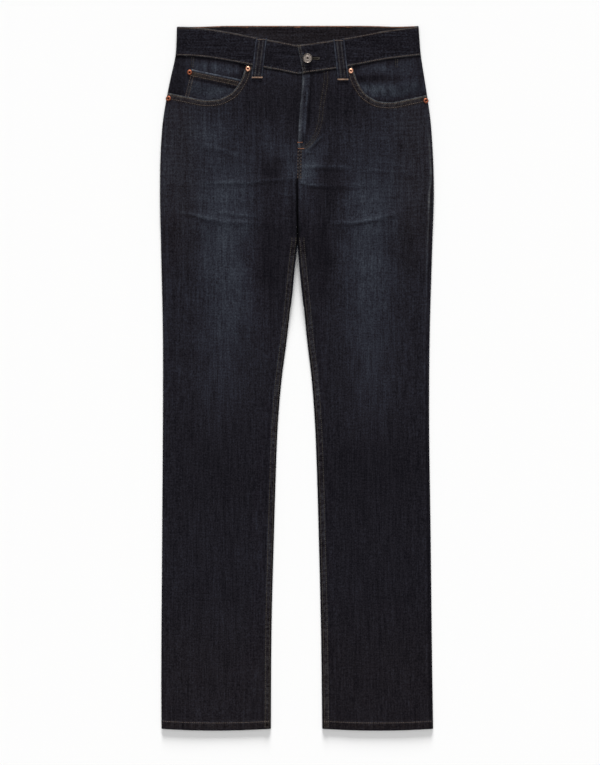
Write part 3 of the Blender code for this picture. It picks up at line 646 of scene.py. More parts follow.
def outseam_looks(side, x, side_off, down):
    """The side seam: a soft pale strip, rusty hips, and on the left a pale ridge over its turnings."""
    tone = 0.013 * bell(side_off, 6, 4.5) * ease(110, 140, down) * ease(950, 800, down)
    rust = 0.2 * ease(130, 185, np.abs(x)) * ease(100, 130, down) * ease(420, 300, down)
    if side == "left":
        ridge = ease(150, 200, down) * (1 - 0.5 * ease(310, 380, down) - 0.4 * ease(420, 600, down))
        ridge_at = 4.6 + 3.4 * ease(232, 275, down)
        tone += 0.18 * ridge * bell(side_off, ridge_at, 1.0) * (0.75 + 0.35 * wander(down / 9, 43))
        tone -= 0.04 * ease(150, 230, down) * bell(side_off, ridge_at - 3.4, 1.6)
        rust += 0.3 * ridge * bell(side_off, ridge_at, 2.0)
    return 0.0, tone, 0.0, rust


def hem_looks(x, above):
    """The hem, above its folded edge: a step where it ends inside, its row's groove and slow puckers."""
    wave = np.sin(2 * math.pi * x / 11 + 1.5 * wander(x / 17, 71))
    middle = bell(above, 7, 5)
    face = 0.45 * ease(14, 12.5, above) - 0.3 * bell(above, HEM_ROW, 1.0)
    face += 0.12 * wave * bell(above, 8.5, 3.5)
    tone = 0.012 * wave * middle + 0.02 * bell(above, 0.5, 1.0) + 0.045 * bell(above, HEM_ROW, 1.2)
    return face, tone, 0.4 * middle, 0.3 * bell(above, 7, 6)


# %% Face of the front
def front_face(side, x, down):
    """Height and looks of a front panel: its plain height, the seams' relief, then the turned edges."""
    side_off, inner = from_edges(side, x, down)
    above = hem_line(np.clip(share_at(side, x, down), 0, 1)) - down
    rise, lines = pale_lines(x, down)
    plain = front_height(side, x, down) + rise + 0.3 * rumple(x, down, 11 + SIGN[side], 170, 45)
    cloth = broad_tone(x, down) + lines + patches(x, down, BLUE_PATCHES)
    cloth += (0.002 + 0.005 * ease(560, 380, down)) * rumple(x, down, 21, 90, 16)
    crinkle = np.sin(2 * math.pi * down / 7.5 + 3 * wander(x / 38, 81) + 2 * wander(down / 26, 82))
    cloth += 0.007 * crinkle * ease(95, 130, down) * ease(330, 270, down) * ease(40, 90, np.abs(x))
    # painted shade under the waistband's lower edge, with some darker dye: a dark line along the panel's top
    cloth -= 0.04 * bell(down - front_top(x), 0.4, 1.6)
    layers = (
        (plain, cloth, 0.0, 0.2 * ease(850, 1020, down)), mouth_looks(side, x, down),
        inseam_looks(side, inner, down), outseam_looks(side, x, side_off, down), fly_looks(side, x, down),
        hem_looks(x, above),
    )
    face, tone, rope, rust = (sum(part) for part in zip(*layers))

    raised = ease(CROTCH - 20, CROTCH, down)
    if side == "left":
        raised = np.maximum(raised, ease(*FLY_FOOT, down) * ease(240, 205, down))
    fell = FELL_RISE * raised * fell_width(inner) * ease(0, 3, inner)
    # painted shade: the tone darkens into the crease where the two fronts meet above the crotch
    crease = ease(226, 246, down) * ease(352, 336, down)
    tone = tone * (1 - 0.85 * crease * bell(inner, 0, 1.9)) + 0.02 * crease * bell(inner, 5, 2)
    shade = ease(232, 250, down) if side == "right" else ease(290, 312, down)
    tone -= 0.034 * shade * ease(368, 350, down) * bell(inner, 5, 8)
    seam_z = seam_height(down, SEAM_GAP / 2)
    lifted = inner_lift(side, x, down)
    valley = (seam_z + lifted + 0.45 * np.minimum(lifted, 1) - face) * ease(205, 338, down) ** 0.7
    face = face + turned(face, seam_z, side_off, SIDE_TURN) + valley * nose(inner, CREASE_TURN) + fell
    return face, {"tone": tone, "rope": rope, "rust": rust}


z, looks = front_face("left", np.array([100.0, 20.0]), np.array([400.0, 120.0]))
print("front face:", z.round(2), "tone:", looks["tone"].round(3))

# %% [markdown]
# ## A closed sheet of cloth
#
# A real panel has two sides and a thickness, and its edges are rounded by the fold or by wear. `shell`
# takes a grid of points on the outer face, lays an inner grid under it, and lets the two meet in a
# round nose at every edge. Solidify would do the thickness, but it leaves square edges, and denim edges
# catch the light.

# %% Shell builder
def to_frame(x, down, z):
    """Stacks x, down and z into points of the garment's frame, in millimetres."""
    x, down, z = np.broadcast_arrays(x, down, z)
    return np.stack([x, LENGTH / 2 - down, z], axis=-1).astype(float)


def unit_normals(grid, up):
    """Unit normals of a grid: cross products of its two differences. up is +1 where its middle faces up."""
    normal = np.cross(np.gradient(grid, axis=0), np.gradient(grid, axis=1))
    normal /= np.maximum(np.linalg.norm(normal, axis=-1, keepdims=True), 1e-9)
    middle = normal[grid.shape[0] // 2, grid.shape[1] // 2, 2]
    return normal * math.copysign(1, middle * up)


def add_mesh(name, points, faces, material, looks=None):
    """A mesh object from points in millimetres, with its looks as attributes of the points."""
    mesh = bpy.data.meshes.new(name)
    mesh.from_pydata((points * MM).tolist(), [], faces)
    for look, values in (looks or {}).items():
        data = mesh.attributes.new(look, "FLOAT", "POINT").data
        data.foreach_set("value", np.ravel(values).astype(np.float32))
    mesh.materials.append(material)
    mesh.shade_smooth()
    made = bpy.data.objects.new(name, mesh)
    bpy.context.scene.collection.objects.link(made)
    return made


def grid_faces(k):
    """Quads between the neighbours of a grid of point numbers."""
    return np.stack([k[:-1, :-1], k[:-1, 1:], k[1:, 1:], k[1:, :-1]], axis=-1).reshape(-1, 4)


def shell(name, grid, thick, margin, material, looks, up=1, limit=None, inside_tone=0.30, inside_rust=0.0):
    """A closed sheet of cloth.

    With n the grid's normal, r half the thickness and m the distance to the nearest edge, the outer side
    lies at grid - n * tuck and the inner at grid - n * (thick - tuck), where tuck is a quarter of a circle,
    r - sqrt(r^2 - (r - m)^2), for m < r and 0 elsewhere. limit is a height that the inner side doesn't pass,
    so that front and back don't meet. The inner side never comes through the outer one.
    """
    shape = grid.shape[:2]
    thick = np.broadcast_to(np.asarray(thick, float), shape)
    normal = unit_normals(grid, up)
    r = thick / 2
    gap = np.clip(r - margin, 0, 0.93 * r)
    tuck = r - np.sqrt(r * r - gap * gap)
    outer = grid - normal * tuck[..., None]
    inner = grid - normal * (thick - tuck)[..., None]
    if limit is not None:
        held = np.maximum(up * inner[..., 2], up * limit)
        inner[..., 2] = up * np.minimum(held, up * outer[..., 2] - 0.04)
    k = np.arange(thick.size).reshape(shape)
    rim = np.concatenate([k[0, :-1], k[:-1, -1], k[-1, :0:-1], k[:0:-1, 0]])
    after = np.roll(rim, -1)
    sides = np.stack([rim, rim + thick.size, after + thick.size, after], axis=-1)
    faces = np.concatenate([grid_faces(k), grid_faces(k + thick.size)[:, ::-1], sides])
    i, j = shape[0] // 2, shape[1] // 2
    facing = np.cross(grid[i, j + 1] - grid[i, j], grid[i + 1, j] - grid[i, j])
    if np.dot(facing, normal[i, j]) < 0:
        faces = faces[:, ::-1]
    points = np.concatenate([outer.reshape(-1, 3), inner.reshape(-1, 3)])
    looks = {"rope": 0.0, "rust": 0.0, **(looks if isinstance(looks, dict) else {"tone": looks})}
    inside = {"tone": inside_tone, "rope": 0.0, "rust": inside_rust}
    both = {look: np.stack([np.broadcast_to(values[look], shape) for values in (looks, inside)])
            for look in inside}
    return add_mesh(name, points, faces.tolist(), material, both)


def cut_size(grid):
    """Width, length and area of a grid pressed flat: its longest rows and columns, and all its quads."""
    across = np.linalg.norm(np.diff(grid, axis=1), axis=-1).sum(axis=1).max()
    along = np.linalg.norm(np.diff(grid, axis=0), axis=-1).sum(axis=0).max()
    one, two = grid[1:, 1:] - grid[:-1, :-1], grid[1:, :-1] - grid[:-1, 1:]
    area = np.linalg.norm(np.cross(one, two), axis=-1).sum() / 2
    return float(across * MM), float(along * MM), float(area * MM * MM)


def enlist(piece, node=None):
    """Parents a piece to the garment's one body, and hides the imported part of the node that it stands for.
    """
    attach(piece, "root")
    if node:
        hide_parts(node)


def sewn_piece(node, grid, *cloth, rests_on=(), finish="denim", end="cloth", cut=None, **shape):
    """A shell that stands for a node, and says the size that it was cut to. What it rests on, rests_on, is
    not used.

    cloth is what shell asks for after the grid: thickness, distance to the edge, material and looks.
    """
    piece = shell(f"{node}_{end}", grid, *cloth, **shape)
    if cut:
        cut(piece)
    width, length, area = cut_size(grid)
    area = min(area, width * length)
    enlist(piece, node)
    print(f"{piece.name}: {len(piece.data.polygons)} faces, cut {width * 1000:.0f} x {length * 1000:.0f} mm")


def spread(first, last, step, near, far=None):
    """Places from first to last about step apart, with extra ones at given distances from each end."""
    far = near if far is None else far
    count = max(int((last - first - max(near) - max(far)) / step), 1)
    middle = np.linspace(first + max(near), last - max(far), count + 1)
    ends = first + np.array([0, *near]), middle, last - np.array([0, *far])
    return np.unique(np.concatenate(ends).round(5))


def to_edges(*spans):
    """Distance to the nearest edge. Each span is a place and the size that it lies within."""
    distances = [distance for place, size in spans for distance in (place, size - place)]
    return np.minimum.reduce(np.broadcast_arrays(*distances))


def corner(distance, reach):
    """How far a turned edge has come in at a distance round it: a quarter of a circle, seen from above."""
    return reach * (1 - np.cos(np.clip(distance / reach, 0, 1) * math.pi / 2))


print("shell builder ready")

# %% [markdown]
# ## Materials written as arithmetic
#
# Cloth colour is mostly arithmetic on noise, and node links hide arithmetic. `Value` wraps one output
# socket, and its operators add Math nodes. `Recipe` holds one material and adds every other kind of
# node.

# %% Shader arithmetic
class Value:
    """A number that varies over the surface; + - and * build Math nodes."""

    def __init__(self, recipe, socket):
        self.recipe, self.socket = recipe, socket

    def join(self, operation, *others, clamp=False):
        settings = {"operation": operation, "use_clamp": clamp}
        return self.recipe.add("ShaderNodeMath", settings, dict(enumerate(others)))

    def __add__(self, other):
        return self.join("ADD", self, other)

    def __sub__(self, other):
        return self.join("SUBTRACT", self, other)

    def __mul__(self, other):
        return self.join("MULTIPLY", self, other)

    __radd__, __rmul__ = __add__, __mul__

    def clip(self):
        return self.join("ADD", self, 0.0, clamp=True)


class Recipe:
    """One material: its Principled shader and the nodes that feed it."""

    def __init__(self, name, **constants):
        self.material = bpy.data.materials.new(name)
        self.material.use_nodes = True
        self.tree = self.material.node_tree
        self.shader = self.tree.nodes["Principled BSDF"]
        self.feed(self.shader, {key.replace("_", " ").title(): value for key, value in constants.items()})

    def feed(self, node, sockets):
        for key, value in sockets.items():
            key = key.replace("Ior", "IOR") if isinstance(key, str) else key
            if isinstance(value, Value):
                self.tree.links.new(value.socket, node.inputs[key])
            else:
                node.inputs[key].default_value = value

    def add(self, kind, settings=None, sockets=None, output=0):
        """Any node, from its settings, a ramp's stops among them, and the values or links of its sockets."""
        node = self.tree.nodes.new(kind)
        for key, value in (settings or {}).items():
            if key == "stops":
                ramp = node.color_ramp
                while len(ramp.elements) < len(value):
                    ramp.elements.new(0.5)
                for element, (place, colour) in zip(ramp.elements, value):
                    element.position, element.color = place, (*colour, 1)
            else:
                setattr(node, key, value)
        self.feed(node, sockets or {})
        return Value(self, node.outputs[output])

    def place(self):
        return self.add("ShaderNodeTexCoord", output="Object")

    def noise(self, scale, stretch=(1, 1, 1), detail=3.0, roughness=0.55, shift=(0, 0, 0)):
        """Noise from about -1 to 1, on object coordinates that are stretched."""
        sockets = {"Vector": self.place(), "Scale": stretch, "Location": shift}
        spot = self.add("ShaderNodeMapping", {}, sockets)
        sockets = {"Vector": spot, "Scale": scale, "Detail": detail, "Roughness": roughness}
        return self.add("ShaderNodeTexNoise", {}, sockets, output="Fac") * 2.0 - 1.0

    def ramp(self, stops, at):
        return self.add("ShaderNodeValToRGB", {"stops": stops}, {"Fac": at})

    def bump(self, strength, distance, height):
        sockets = {"Strength": strength, "Distance": distance, "Height": height}
        return self.add("ShaderNodeBump", {}, sockets, output="Normal")


def linear(level):
    """Scene-linear value of a display level from 0 to 1: ((v + 0.055) / 1.055) ^ 2.4."""
    return ((level + 0.055) / 1.055) ** 2.4


print("arithmetic ready; level 0.5 is linear", round(linear(0.5), 3))

# %% [markdown]
# ## Denim
#
# Denim's warp is dyed dark and its weft is pale, so its colour is streaked along the warp, where the
# yarn is uneven, and finely crossed by the weft. The tone on each point sets the mean. Noise stretched
# along the warp adds slubs of several lengths, noise stretched along the weft adds the cross threads,
# and a fine diagonal bump is the twill. All of it is in object coordinates, so a leg's left and right
# halves never repeat. Clouds show only where the dye has faded, because deep dye hides them.
#
# The tone then runs through a ramp of dye colours: nearly black navy, indigo, washed blue grey. Rust
# multiplies the result by a warm colour, which keeps the yarn's light and dark.

# %% Denim material
LIGHTING = 1.10  # how much brighter a white card would be than a card that shows as full white
DYE = (  # tone, and the red, green and blue that it shows
    (0.00, (0.000, 0.000, 0.002)),
    (0.08, (0.078, 0.074, 0.094)),
    (0.12, (0.124, 0.118, 0.139)),
    (0.15, (0.147, 0.149, 0.181)),
    (0.19, (0.180, 0.190, 0.222)),
    (0.27, (0.248, 0.268, 0.303)),
    (0.40, (0.370, 0.398, 0.435)),
    (0.60, (0.570, 0.602, 0.640)),
    (1.00, (0.930, 0.945, 0.960)),
)
RUST = (1.28, 0.93, 0.52)  # how rust multiplies red, green and blue
UNFADED = 0.10  # the tone of cloth that has not been rubbed


def denim(name, warp="down", streaks=1.0, shift=0.0):
    """Denim with its warp along y (down) or along x (across). streaks scales the contrast of the yarn."""
    recipe = Recipe(name, roughness=0.9, specular_ior_level=0.015)

    def stretch(side, along):
        return (side, along, side) if warp == "down" else (along, side, side)

    tone, rope, rust = (recipe.add("ShaderNodeAttribute", {"attribute_name": look}, output="Fac")
                        for look in ("tone", "rope", "rust"))
    slubs = recipe.noise(1.0, stretch(430, 20), 4.0, 0.62, (shift, 0, 0))
    wide = recipe.noise(1.0, stretch(150, 7), 3.0, 0.6, (0, shift, 0))
    warp_yarn = recipe.noise(1.0, stretch(900, 60), 2.0, 0.6, (shift, 3, 0))
    weft_yarn = recipe.noise(1.0, stretch(70, 700), 2.0, 0.6, (7, shift, 0))
    grains = recipe.noise(1.0, stretch(480, 380), 2.0, 0.65, (0, 0, shift))
    cloud = recipe.noise(13.0, (1, 1, 1), 2.0, 0.5, (shift, 5, 0))
    mottle = recipe.noise(60.0, (1, 0.6, 1), 3.0, 0.6, (shift, 9, 0))
    speckle = recipe.noise(240.0, (1, 1, 1), 3.0, 0.7, (3, shift, 0))
    yarn = slubs * 0.70 + wide * 0.18 + warp_yarn * 0.30 + weft_yarn * 0.34 + grains * 1.0
    mixed = tone * (yarn * (0.52 * streaks) + 1.0) + (tone - UNFADED) * (cloud * 0.35 + mottle * 0.45)
    mixed = mixed + yarn * (0.030 * streaks) + rope * (speckle * 0.17 + 0.004)
    dyed = recipe.ramp([(at, [linear(c) / LIGHTING for c in colour]) for at, colour in DYE], mixed.clip())
    warm = (rust * (speckle * 0.9 + 0.75)).clip()
    colour = recipe.add("ShaderNodeMix", {"data_type": "RGBA", "blend_type": "MULTIPLY"},
                        {0: warm, 6: dyed, 7: (*RUST, 1)}, output=2)
    twill = recipe.add(
        "ShaderNodeTexWave", {"wave_type": "BANDS", "bands_direction": "DIAGONAL"},
        {"Vector": recipe.place(), "Scale": 420.0, "Distortion": 1.5, "Detail": 1.0}, output="Fac")
    bump = recipe.bump(0.35, 0.0003, twill * 0.5 + warp_yarn * 0.3 + weft_yarn * 0.3)
    recipe.feed(recipe.shader, {"Base Color": colour, "Normal": bump})
    return recipe.material


denim_down = denim("denim_warp_down")
denim_across = denim("denim_warp_across", "across", 1.5, 11.0)
print("denim:", len(denim_down.node_tree.nodes), "nodes")

# %% [markdown]
# ## Thread and metal
#
# The thread is brown cotton on the front's seams, and a brighter tan at the bar tacks. It is fuzzy, so
# it is rough with no gloss. Metal is worn: the plating is thin on the edges. The near-black metal in the
# hollows of the button and rivets is painted shade.

# %% Thread and metal materials
def thread(name, colour, uneven=0.35):
    """Thread: one colour (as it shows) made lighter and darker by noise about as long as two stitches."""
    recipe = Recipe(name, roughness=0.8, specular_ior_level=0.1)
    low, high = ([linear(c * k) / LIGHTING for c in colour] for k in (1 - uneven, 1 + uneven))
    worn = recipe.noise(160.0, detail=2.0) * 0.8 + recipe.noise(1500.0, detail=1.0) * 0.4 + 0.5
    recipe.feed(recipe.shader, {"Base Color": recipe.ramp([(0.0, low), (1.0, high)], worn.clip())})
    return recipe.material


def metal(name, dark, bright, roughness):
    """Worn plated metal: dark and bright colours mixed by fine and coarse noise, which also roughens it."""
    recipe = Recipe(name, metallic=1.0)
    worn = (recipe.noise(900.0, detail=3.0) * 0.5 + recipe.noise(240.0, detail=2.0) * 0.5 + 0.55).clip()
    colour = recipe.ramp([(0.0, [linear(c) for c in dark]), (1.0, [linear(c) for c in bright])], worn)
    bump = recipe.bump(0.3, 0.0002, worn)
    recipe.feed(recipe.shader, {"Base Color": colour, "Roughness": roughness + 0.2 * worn, "Normal": bump})
    return recipe.material


thread_brown = thread("thread_brown", (0.335, 0.295, 0.27))
thread_olive = thread("thread_olive", (0.25, 0.235, 0.21), 0.45)
thread_tan = thread("thread_tan", (0.56, 0.46, 0.39), 0.4)
thread_rust = thread("thread_rust", (0.45, 0.31, 0.24), 0.4)
copper = metal("copper_bright", (0.55, 0.34, 0.27), (0.93, 0.72, 0.60), 0.32)
old_copper = metal("copper_dull", (0.30, 0.15, 0.11), (0.66, 0.40, 0.30), 0.42)
nickel = metal("nickel_worn", (0.20, 0.18, 0.17), (0.62, 0.58, 0.55), 0.34)
# painted shade: the near-black metal of the plugs in the hollows of the button and rivets
hollow = metal("metal_painted_shade", (0.03, 0.02, 0.02), (0.13, 0.07, 0.06), 0.6)
print("materials:", [m.name for m in bpy.data.materials])

# %% [markdown]
# ## Front legs
#
# A front panel is one grid. Its columns start on the top line, which runs along the waistband's seam
# and then falls round the pocket mouth, and they are spaced evenly along that line, so the steep end of
# the mouth gets as many as it needs. The rows crowd together at the top and at the hem, where the cloth
# turns over.

# %% Front panels
EDGE_STEPS = (0.25, 0.7, 1.3, 2.1, 3.0, 4.1, 5.3, 6.6, 8.0, 9.4, 11.0, 12.6)
SIDE_STEPS = (0.25, 0.7, 1.3, 2.1, 3.0, 4.0, 5.0, 6.4, 8.0)


def panel_x(side, q, girth, down, turn):
    """The x of a point at q along a panel from the side seam; both edges are quarter ellipses."""
    out, inn = outer_edge(side, down), inner_edge(side, down)
    sign = np.sign(inn - out)
    start = out + sign * (corner(q, turn) + np.maximum(q - turn, 0))
    return np.where(girth - q < CREASE_TURN, inn - sign * corner(girth - q, CREASE_TURN), start)


def top_of_front(side, x):
    """The panel's upper edge: the waistband's seam, then the pocket mouth."""
    return np.where(np.abs(x) > MOUTH_TOP[side][0], mouth_depth(side, x), front_top(x))


def settle_columns(side, shares, line_of, turn):
    """Down where each column meets a line that depends on x."""
    def following(down):
        girth = width_at(side, down)
        return 0.35 * down + 0.65 * line_of(panel_x(side, shares * girth, girth, down, turn))

    return settle(np.full(shares.shape, 90.0), following)


def front_columns(side, step):
    """Shares of the way from side seam to inner edge, even along the panel's top line."""
    shares = np.linspace(0, 1, 3000)
    down = settle_columns(side, shares, lambda x: top_of_front(side, x), SIDE_TURN)
    girth = width_at(side, down)
    x = panel_x(side, shares * girth, girth, down, SIDE_TURN)
    flat = np.hypot(np.gradient(x), np.gradient(down))
    run = np.cumsum(np.maximum(flat, np.gradient(shares * girth)))
    run -= run[0]
    return np.interp(spread(0, run[-1], step, SIDE_STEPS, EDGE_STEPS), run, shares)


def leg_rows(top, foot, step, near, far, crowd=1.0):
    """Rows of a leg: fixed distances below the top line and above the hem, and shares t^crowd between."""
    low, high = max(near), max(far)
    count = int((float(np.mean(foot - top)) - low - high) / step)
    shares = np.linspace(0, 1, count + 1)[1:-1] ** crowd
    between = [(top + low) * (1 - t) + (foot - high) * t for t in shares]
    return np.array([top + d for d in (0, *near)] + between + [foot - d for d in (*far[::-1], 0)])


def hem_doubling(down):
    """0 above the hem, 1 where the hem is turned up inside."""
    return ease(LENGTH - HEM_DEPTH - 5, LENGTH - HEM_DEPTH - 2, down)


def make_front(side, step=2.5):
    """A front leg from waistband and pocket mouth to hem."""
    shares = front_columns(side, step)
    top = settle_columns(side, shares, lambda x: top_of_front(side, x), SIDE_TURN)
    down = leg_rows(top, hem_line(shares), step, EDGE_STEPS, EDGE_STEPS, 1.35)
    share = np.broadcast_to(shares, down.shape)
    girth = width_at(side, down)
    outer = share * girth
    x = panel_x(side, outer, girth, down, SIDE_TURN)
    z, looks = front_face(side, x, down)
    mouth = np.abs(mouth_line(side).reach(x, down, 20)[0])
    inner = np.abs(x - inner_edge(side, down))
    doubled = np.maximum(hem_doubling(down), ease(11, 9, mouth))
    if side == "left":
        doubled = np.maximum(doubled, ease(14, 8, inner) * ease(*FLY_FOOT[::-1], down))
    doubled = doubled * ease(5, 9, np.minimum(inner + 9 * ease(205, 195, down), outer))
    thick = CLOTH + (HEM_THICK - CLOTH) * doubled
    margin = np.minimum.reduce([down - top, mouth, hem_line(share) - down, outer, (1 - share) * girth])
    if side == "right":
        x = x + FLY_TUCK * ease(162, 150, down) * ease(0.9, 1.0, share)
    meeting = seam_height(down) + inner_lift(side, x, down) + SEAM_CLEAR
    sewn_piece(
        f"front_{side}", to_frame(x, down, z), thick, margin, denim_down, looks, rests_on=[f"back_{side}"],
        limit=np.minimum(meeting, z - np.clip(margin, 0.05, 1.0)))


for side in SIGN:
    make_front(side)

# %% [markdown]
# ## Back legs and yokes
#
# The back lies face down, flat on the table from the crotch to the hems, and lifted by its pockets at
# the seat. It is built as the front is, on its own heights, with its outer side below. The stitches
# must not lift it off the table, so here a row's groove is as deep as its thread.

# %% Back panels
SEAT_ROWS = (1.6, 7.8)
YOKE_ROWS = (1.8, 7.6)


def back_sewn(off, rows_at, depth=0.55):
    """Height of the grooves on an underside: bells as deep as the thread is thick."""
    return depth * sum(bell(off, row, 1.1) for row in rows_at)


def back_face(side, x, down):
    """Height and tone of the back's outer side, flat but for the grooves, and turned up at both edges."""
    side_off, inner = from_edges(side, x, down)
    seat = ease(325, 300, down)
    below_yoke = down - yoke_line(x)
    above_hem = hem_line(np.clip(share_at(side, x, down), 0, 1)) - down
    face = base(down) + back_sewn(below_yoke, YOKE_ROWS, 0.3) + back_sewn(above_hem, (HEM_ROW,))
    if side == "left":
        face += seat * back_sewn(inner, SEAT_ROWS, 0.3)
    face += 0.15 * seat * (1 + rumple(x, down, 91, 120, 30)) * ease(0, 12, inner)
    tone = broad_tone(x, down) * 0.6 + 0.052 + 0.02 * ease(90, 200, down) * ease(380, 260, down)
    beads = 0.5 + 0.5 * np.sin(x / 1.4 + wander(x / 15, 92))
    tone += 0.035 * bell(below_yoke, 0.8, 1.1) + 0.02 * bell(below_yoke, 5, 2) * beads
    tone += 0.02 * seat * bell(inner, 0.8, 1.5) + 0.03 * bell(above_hem, 0.5, 1.0)
    seam_z = seam_height(down, -SEAM_GAP / 2)
    face += 0.35 * inner_lift(side, x, down, 20)
    lifted = inner_lift(side, x, down)
    crease = (seam_z + lifted - 0.45 * np.minimum(lifted, 1) - face) * ease(300, 345, down)
    return face + turned(face, seam_z, side_off, UNDER_TURN) + crease * nose(inner, CREASE_TURN), tone


def back_grid(side, top_line, foot_line, step, near, far):
    """Grid, tone, edge margin and down of a back piece between two lines."""
    girth = float(width_at(side, 150.0))
    shares = spread(0, girth, step, SIDE_STEPS, EDGE_STEPS) / girth
    top, foot = (settle_columns(side, shares, edge, UNDER_TURN) for edge in (top_line, foot_line))
    down = leg_rows(top, foot, step, near, far)
    girth = width_at(side, down)
    x = panel_x(side, shares * girth, girth, down, UNDER_TURN)
    z, tone = back_face(side, x, down)
    return to_frame(x, down, z), tone, to_edges((down - top, foot - top), (shares * girth, girth)), down


def make_back(side, step=4.2):
    """A back leg from the yoke's seam to the hem, with the hem turned up inside."""
    near_rows = (0.25, 0.7, 1.3, 2.1, 3.0, 4.5, 6.2, 7.6, 9.0, 11.0)
    far_rows = (0.25, 0.7, 1.3, 2.2, 4.0, 6.5, 8.5, 10.4, 11.4, 12.4, 13.6, 15.0)
    grid, tone, margin, down = back_grid(
        side, lambda x: yoke_line(x) + SEAM_GAP, lambda x: hem_line(share_at(side, x, 1098.0)),
        step, near_rows, far_rows)
    x = grid[..., 0]
    doubled = hem_doubling(down) * ease(5, 9, np.minimum(*from_edges(side, x, down)))
    sewn_piece(f"back_{side}", grid, CLOTH + (HEM_THICK - CLOTH) * doubled, margin, denim_down, tone, up=-1,
               limit=seam_height(down) + inner_lift(side, x, down) - SEAM_CLEAR)


def make_yoke(side, step=4.0):
    """The wedge between waistband and back leg."""
    edge_rows = (0.25, 0.7, 1.3, 2.4)
    grid, tone, margin, down = back_grid(
        side, lambda x: back_edge(x) + BAND_DEPTH + SEAM_GAP, yoke_line, step, edge_rows, edge_rows)
    sewn_piece(f"yoke_{side}", grid, CLOTH, margin, denim_across, tone, up=-1,
               limit=seam_height(down, -SEAM_CLEAR))


for side in SIGN:
    make_back(side)
    make_yoke(side)

# %% [markdown]
# ## Pocket facings and the coin pocket
#
# Inside each mouth lies a facing of the same denim, less worn and a little bluer. It is level with the
# front at the waist and side seams and dips under the front's folded edge. The coin pocket lies on the
# right one.

# %% Facings
FACING_TONE = {"right": 0.113, "left": 0.134}
COIN_TONE = 0.142
COIN_ROWS, COIN_SIDE_ROWS = (4.8, 10.0), (1.8, 6.2)
FACING_UNDER = 10.0  # how far the facing goes in under the front panel
FACING_PATCHES = {  # x, down, half width, half height, strength: where the dye is rubbed off
    "right": (
        (-150, 64, 16, 8, 0.05), (-122, 66, 22, 8, 0.06), (-98, 72, 14, 7, 0.04), (-172, 92, 5, 22, 0.02)),
    "left": (
        (112, 99, 18, 10, 0.07), (140, 103, 26, 9, 0.075), (178, 97, 14, 12, 0.045), (128, 68, 22, 6, 0.06),
        (118, 84, 34, 6, -0.05)),
}
COIN_PATCHES = ((-124, 105, 24, 9, 0.095), (-158, 97, 9, 9, 0.05), (-140, 114, 30, 6, 0.03))


def mouth_inside(side, x, down):
    """How far a place lies inside the mouth, up from its lower edge or out from its steep end."""
    return np.minimum(mouth_depth(side, x) - down, (np.abs(x) - MOUTH_TOP[side][0]) * 1.4)


def facing_height(side, x, down):
    from_side = np.abs(x - outer_edge(side, down))
    drop = MOUTH_DROP * ease(26, 1, mouth_inside(side, x, down)) * ease(1, 11, from_side)
    return front_height(side, x, down) - drop


def facing_face(side, x, down):
    """Height and tone of a facing: the tone is darkened as painted shade under the mouth's edge and under
    the waistband.
    """
    inside = mouth_inside(side, x, down)
    face = facing_height(side, x, down) + 0.25 * rumple(x, down, 101, 60, 18) * ease(2, 12, inside)
    rubbed = 1.1 + 0.35 * np.sin(x / 2.6 + wander(x / 13, 104))
    # painted shade: darker where the front's folded mouth edge overhangs the facing
    tone = FACING_TONE[side] + 0.010 * rumple(x, down, 103, 50, 12) - 0.03 * ease(7, 1, inside)
    # painted shade: a dark line just under the waistband
    tone += patches(x, down, FACING_PATCHES[side]) * rubbed - 0.05 * bell(down - front_top(x), 1.0, 2.6)
    side_off = np.abs(x - outer_edge(side, down))
    return face + turned(face, seam_height(down, SEAM_GAP / 2), side_off, SIDE_TURN), tone


def make_facing(side, step=2.6):
    """The facing's columns run from the waistband's seam to its foot, under the front panel."""
    start, top_down = MOUTH_TOP[side]
    width = abs(float(outer_edge(side, 60))) - start + FACING_UNDER
    q = spread(0, width, step, SIDE_STEPS, (0.25, 0.7, 1.3))
    at_foot = SIGN[side] * (np.abs(outer_edge(side, 100)) - q)
    foot = mouth_depth(side, at_foot) + np.where(q < 9, -0.7, FACING_UNDER)
    foot = np.where(np.abs(at_foot) < start + FACING_UNDER, top_down + 52, foot)

    def x_at(down):
        return panel_x(side, q + 0 * down, 2 * width, down, SIDE_TURN)

    top = settle(np.full(q.shape, 50.0), lambda down: front_top(x_at(down)))
    down = top + spread(0, 1, 0.045, (0.004, 0.01, 0.02))[:, None] * (foot - top)
    x = x_at(down)
    z, tone = facing_face(side, x, down)
    margin = to_edges((down - top, foot - top), (q, width))
    sewn_piece(
        f"facing_{side}", to_frame(x, down, z), CLOTH, margin, denim_down, tone, rests_on=[f"yoke_{side}"],
        finish="facing_denim", limit=np.where(q < SIDE_TURN + 1, seam_height(down, SEAM_CLEAR), 0))


for side in SIGN:
    make_facing(side)

# %% Coin pocket
coin_top = Row(COIN_TOP)
coin_side = Row([COIN_TOP[0], COIN_FOOT[0]])
rows["coin"] = [coin_top.beside(d) for d in COIN_ROWS]
rows["coin_side"] = [Row(coin_side.beside(-d).points[9:-9]) for d in COIN_SIDE_ROWS]


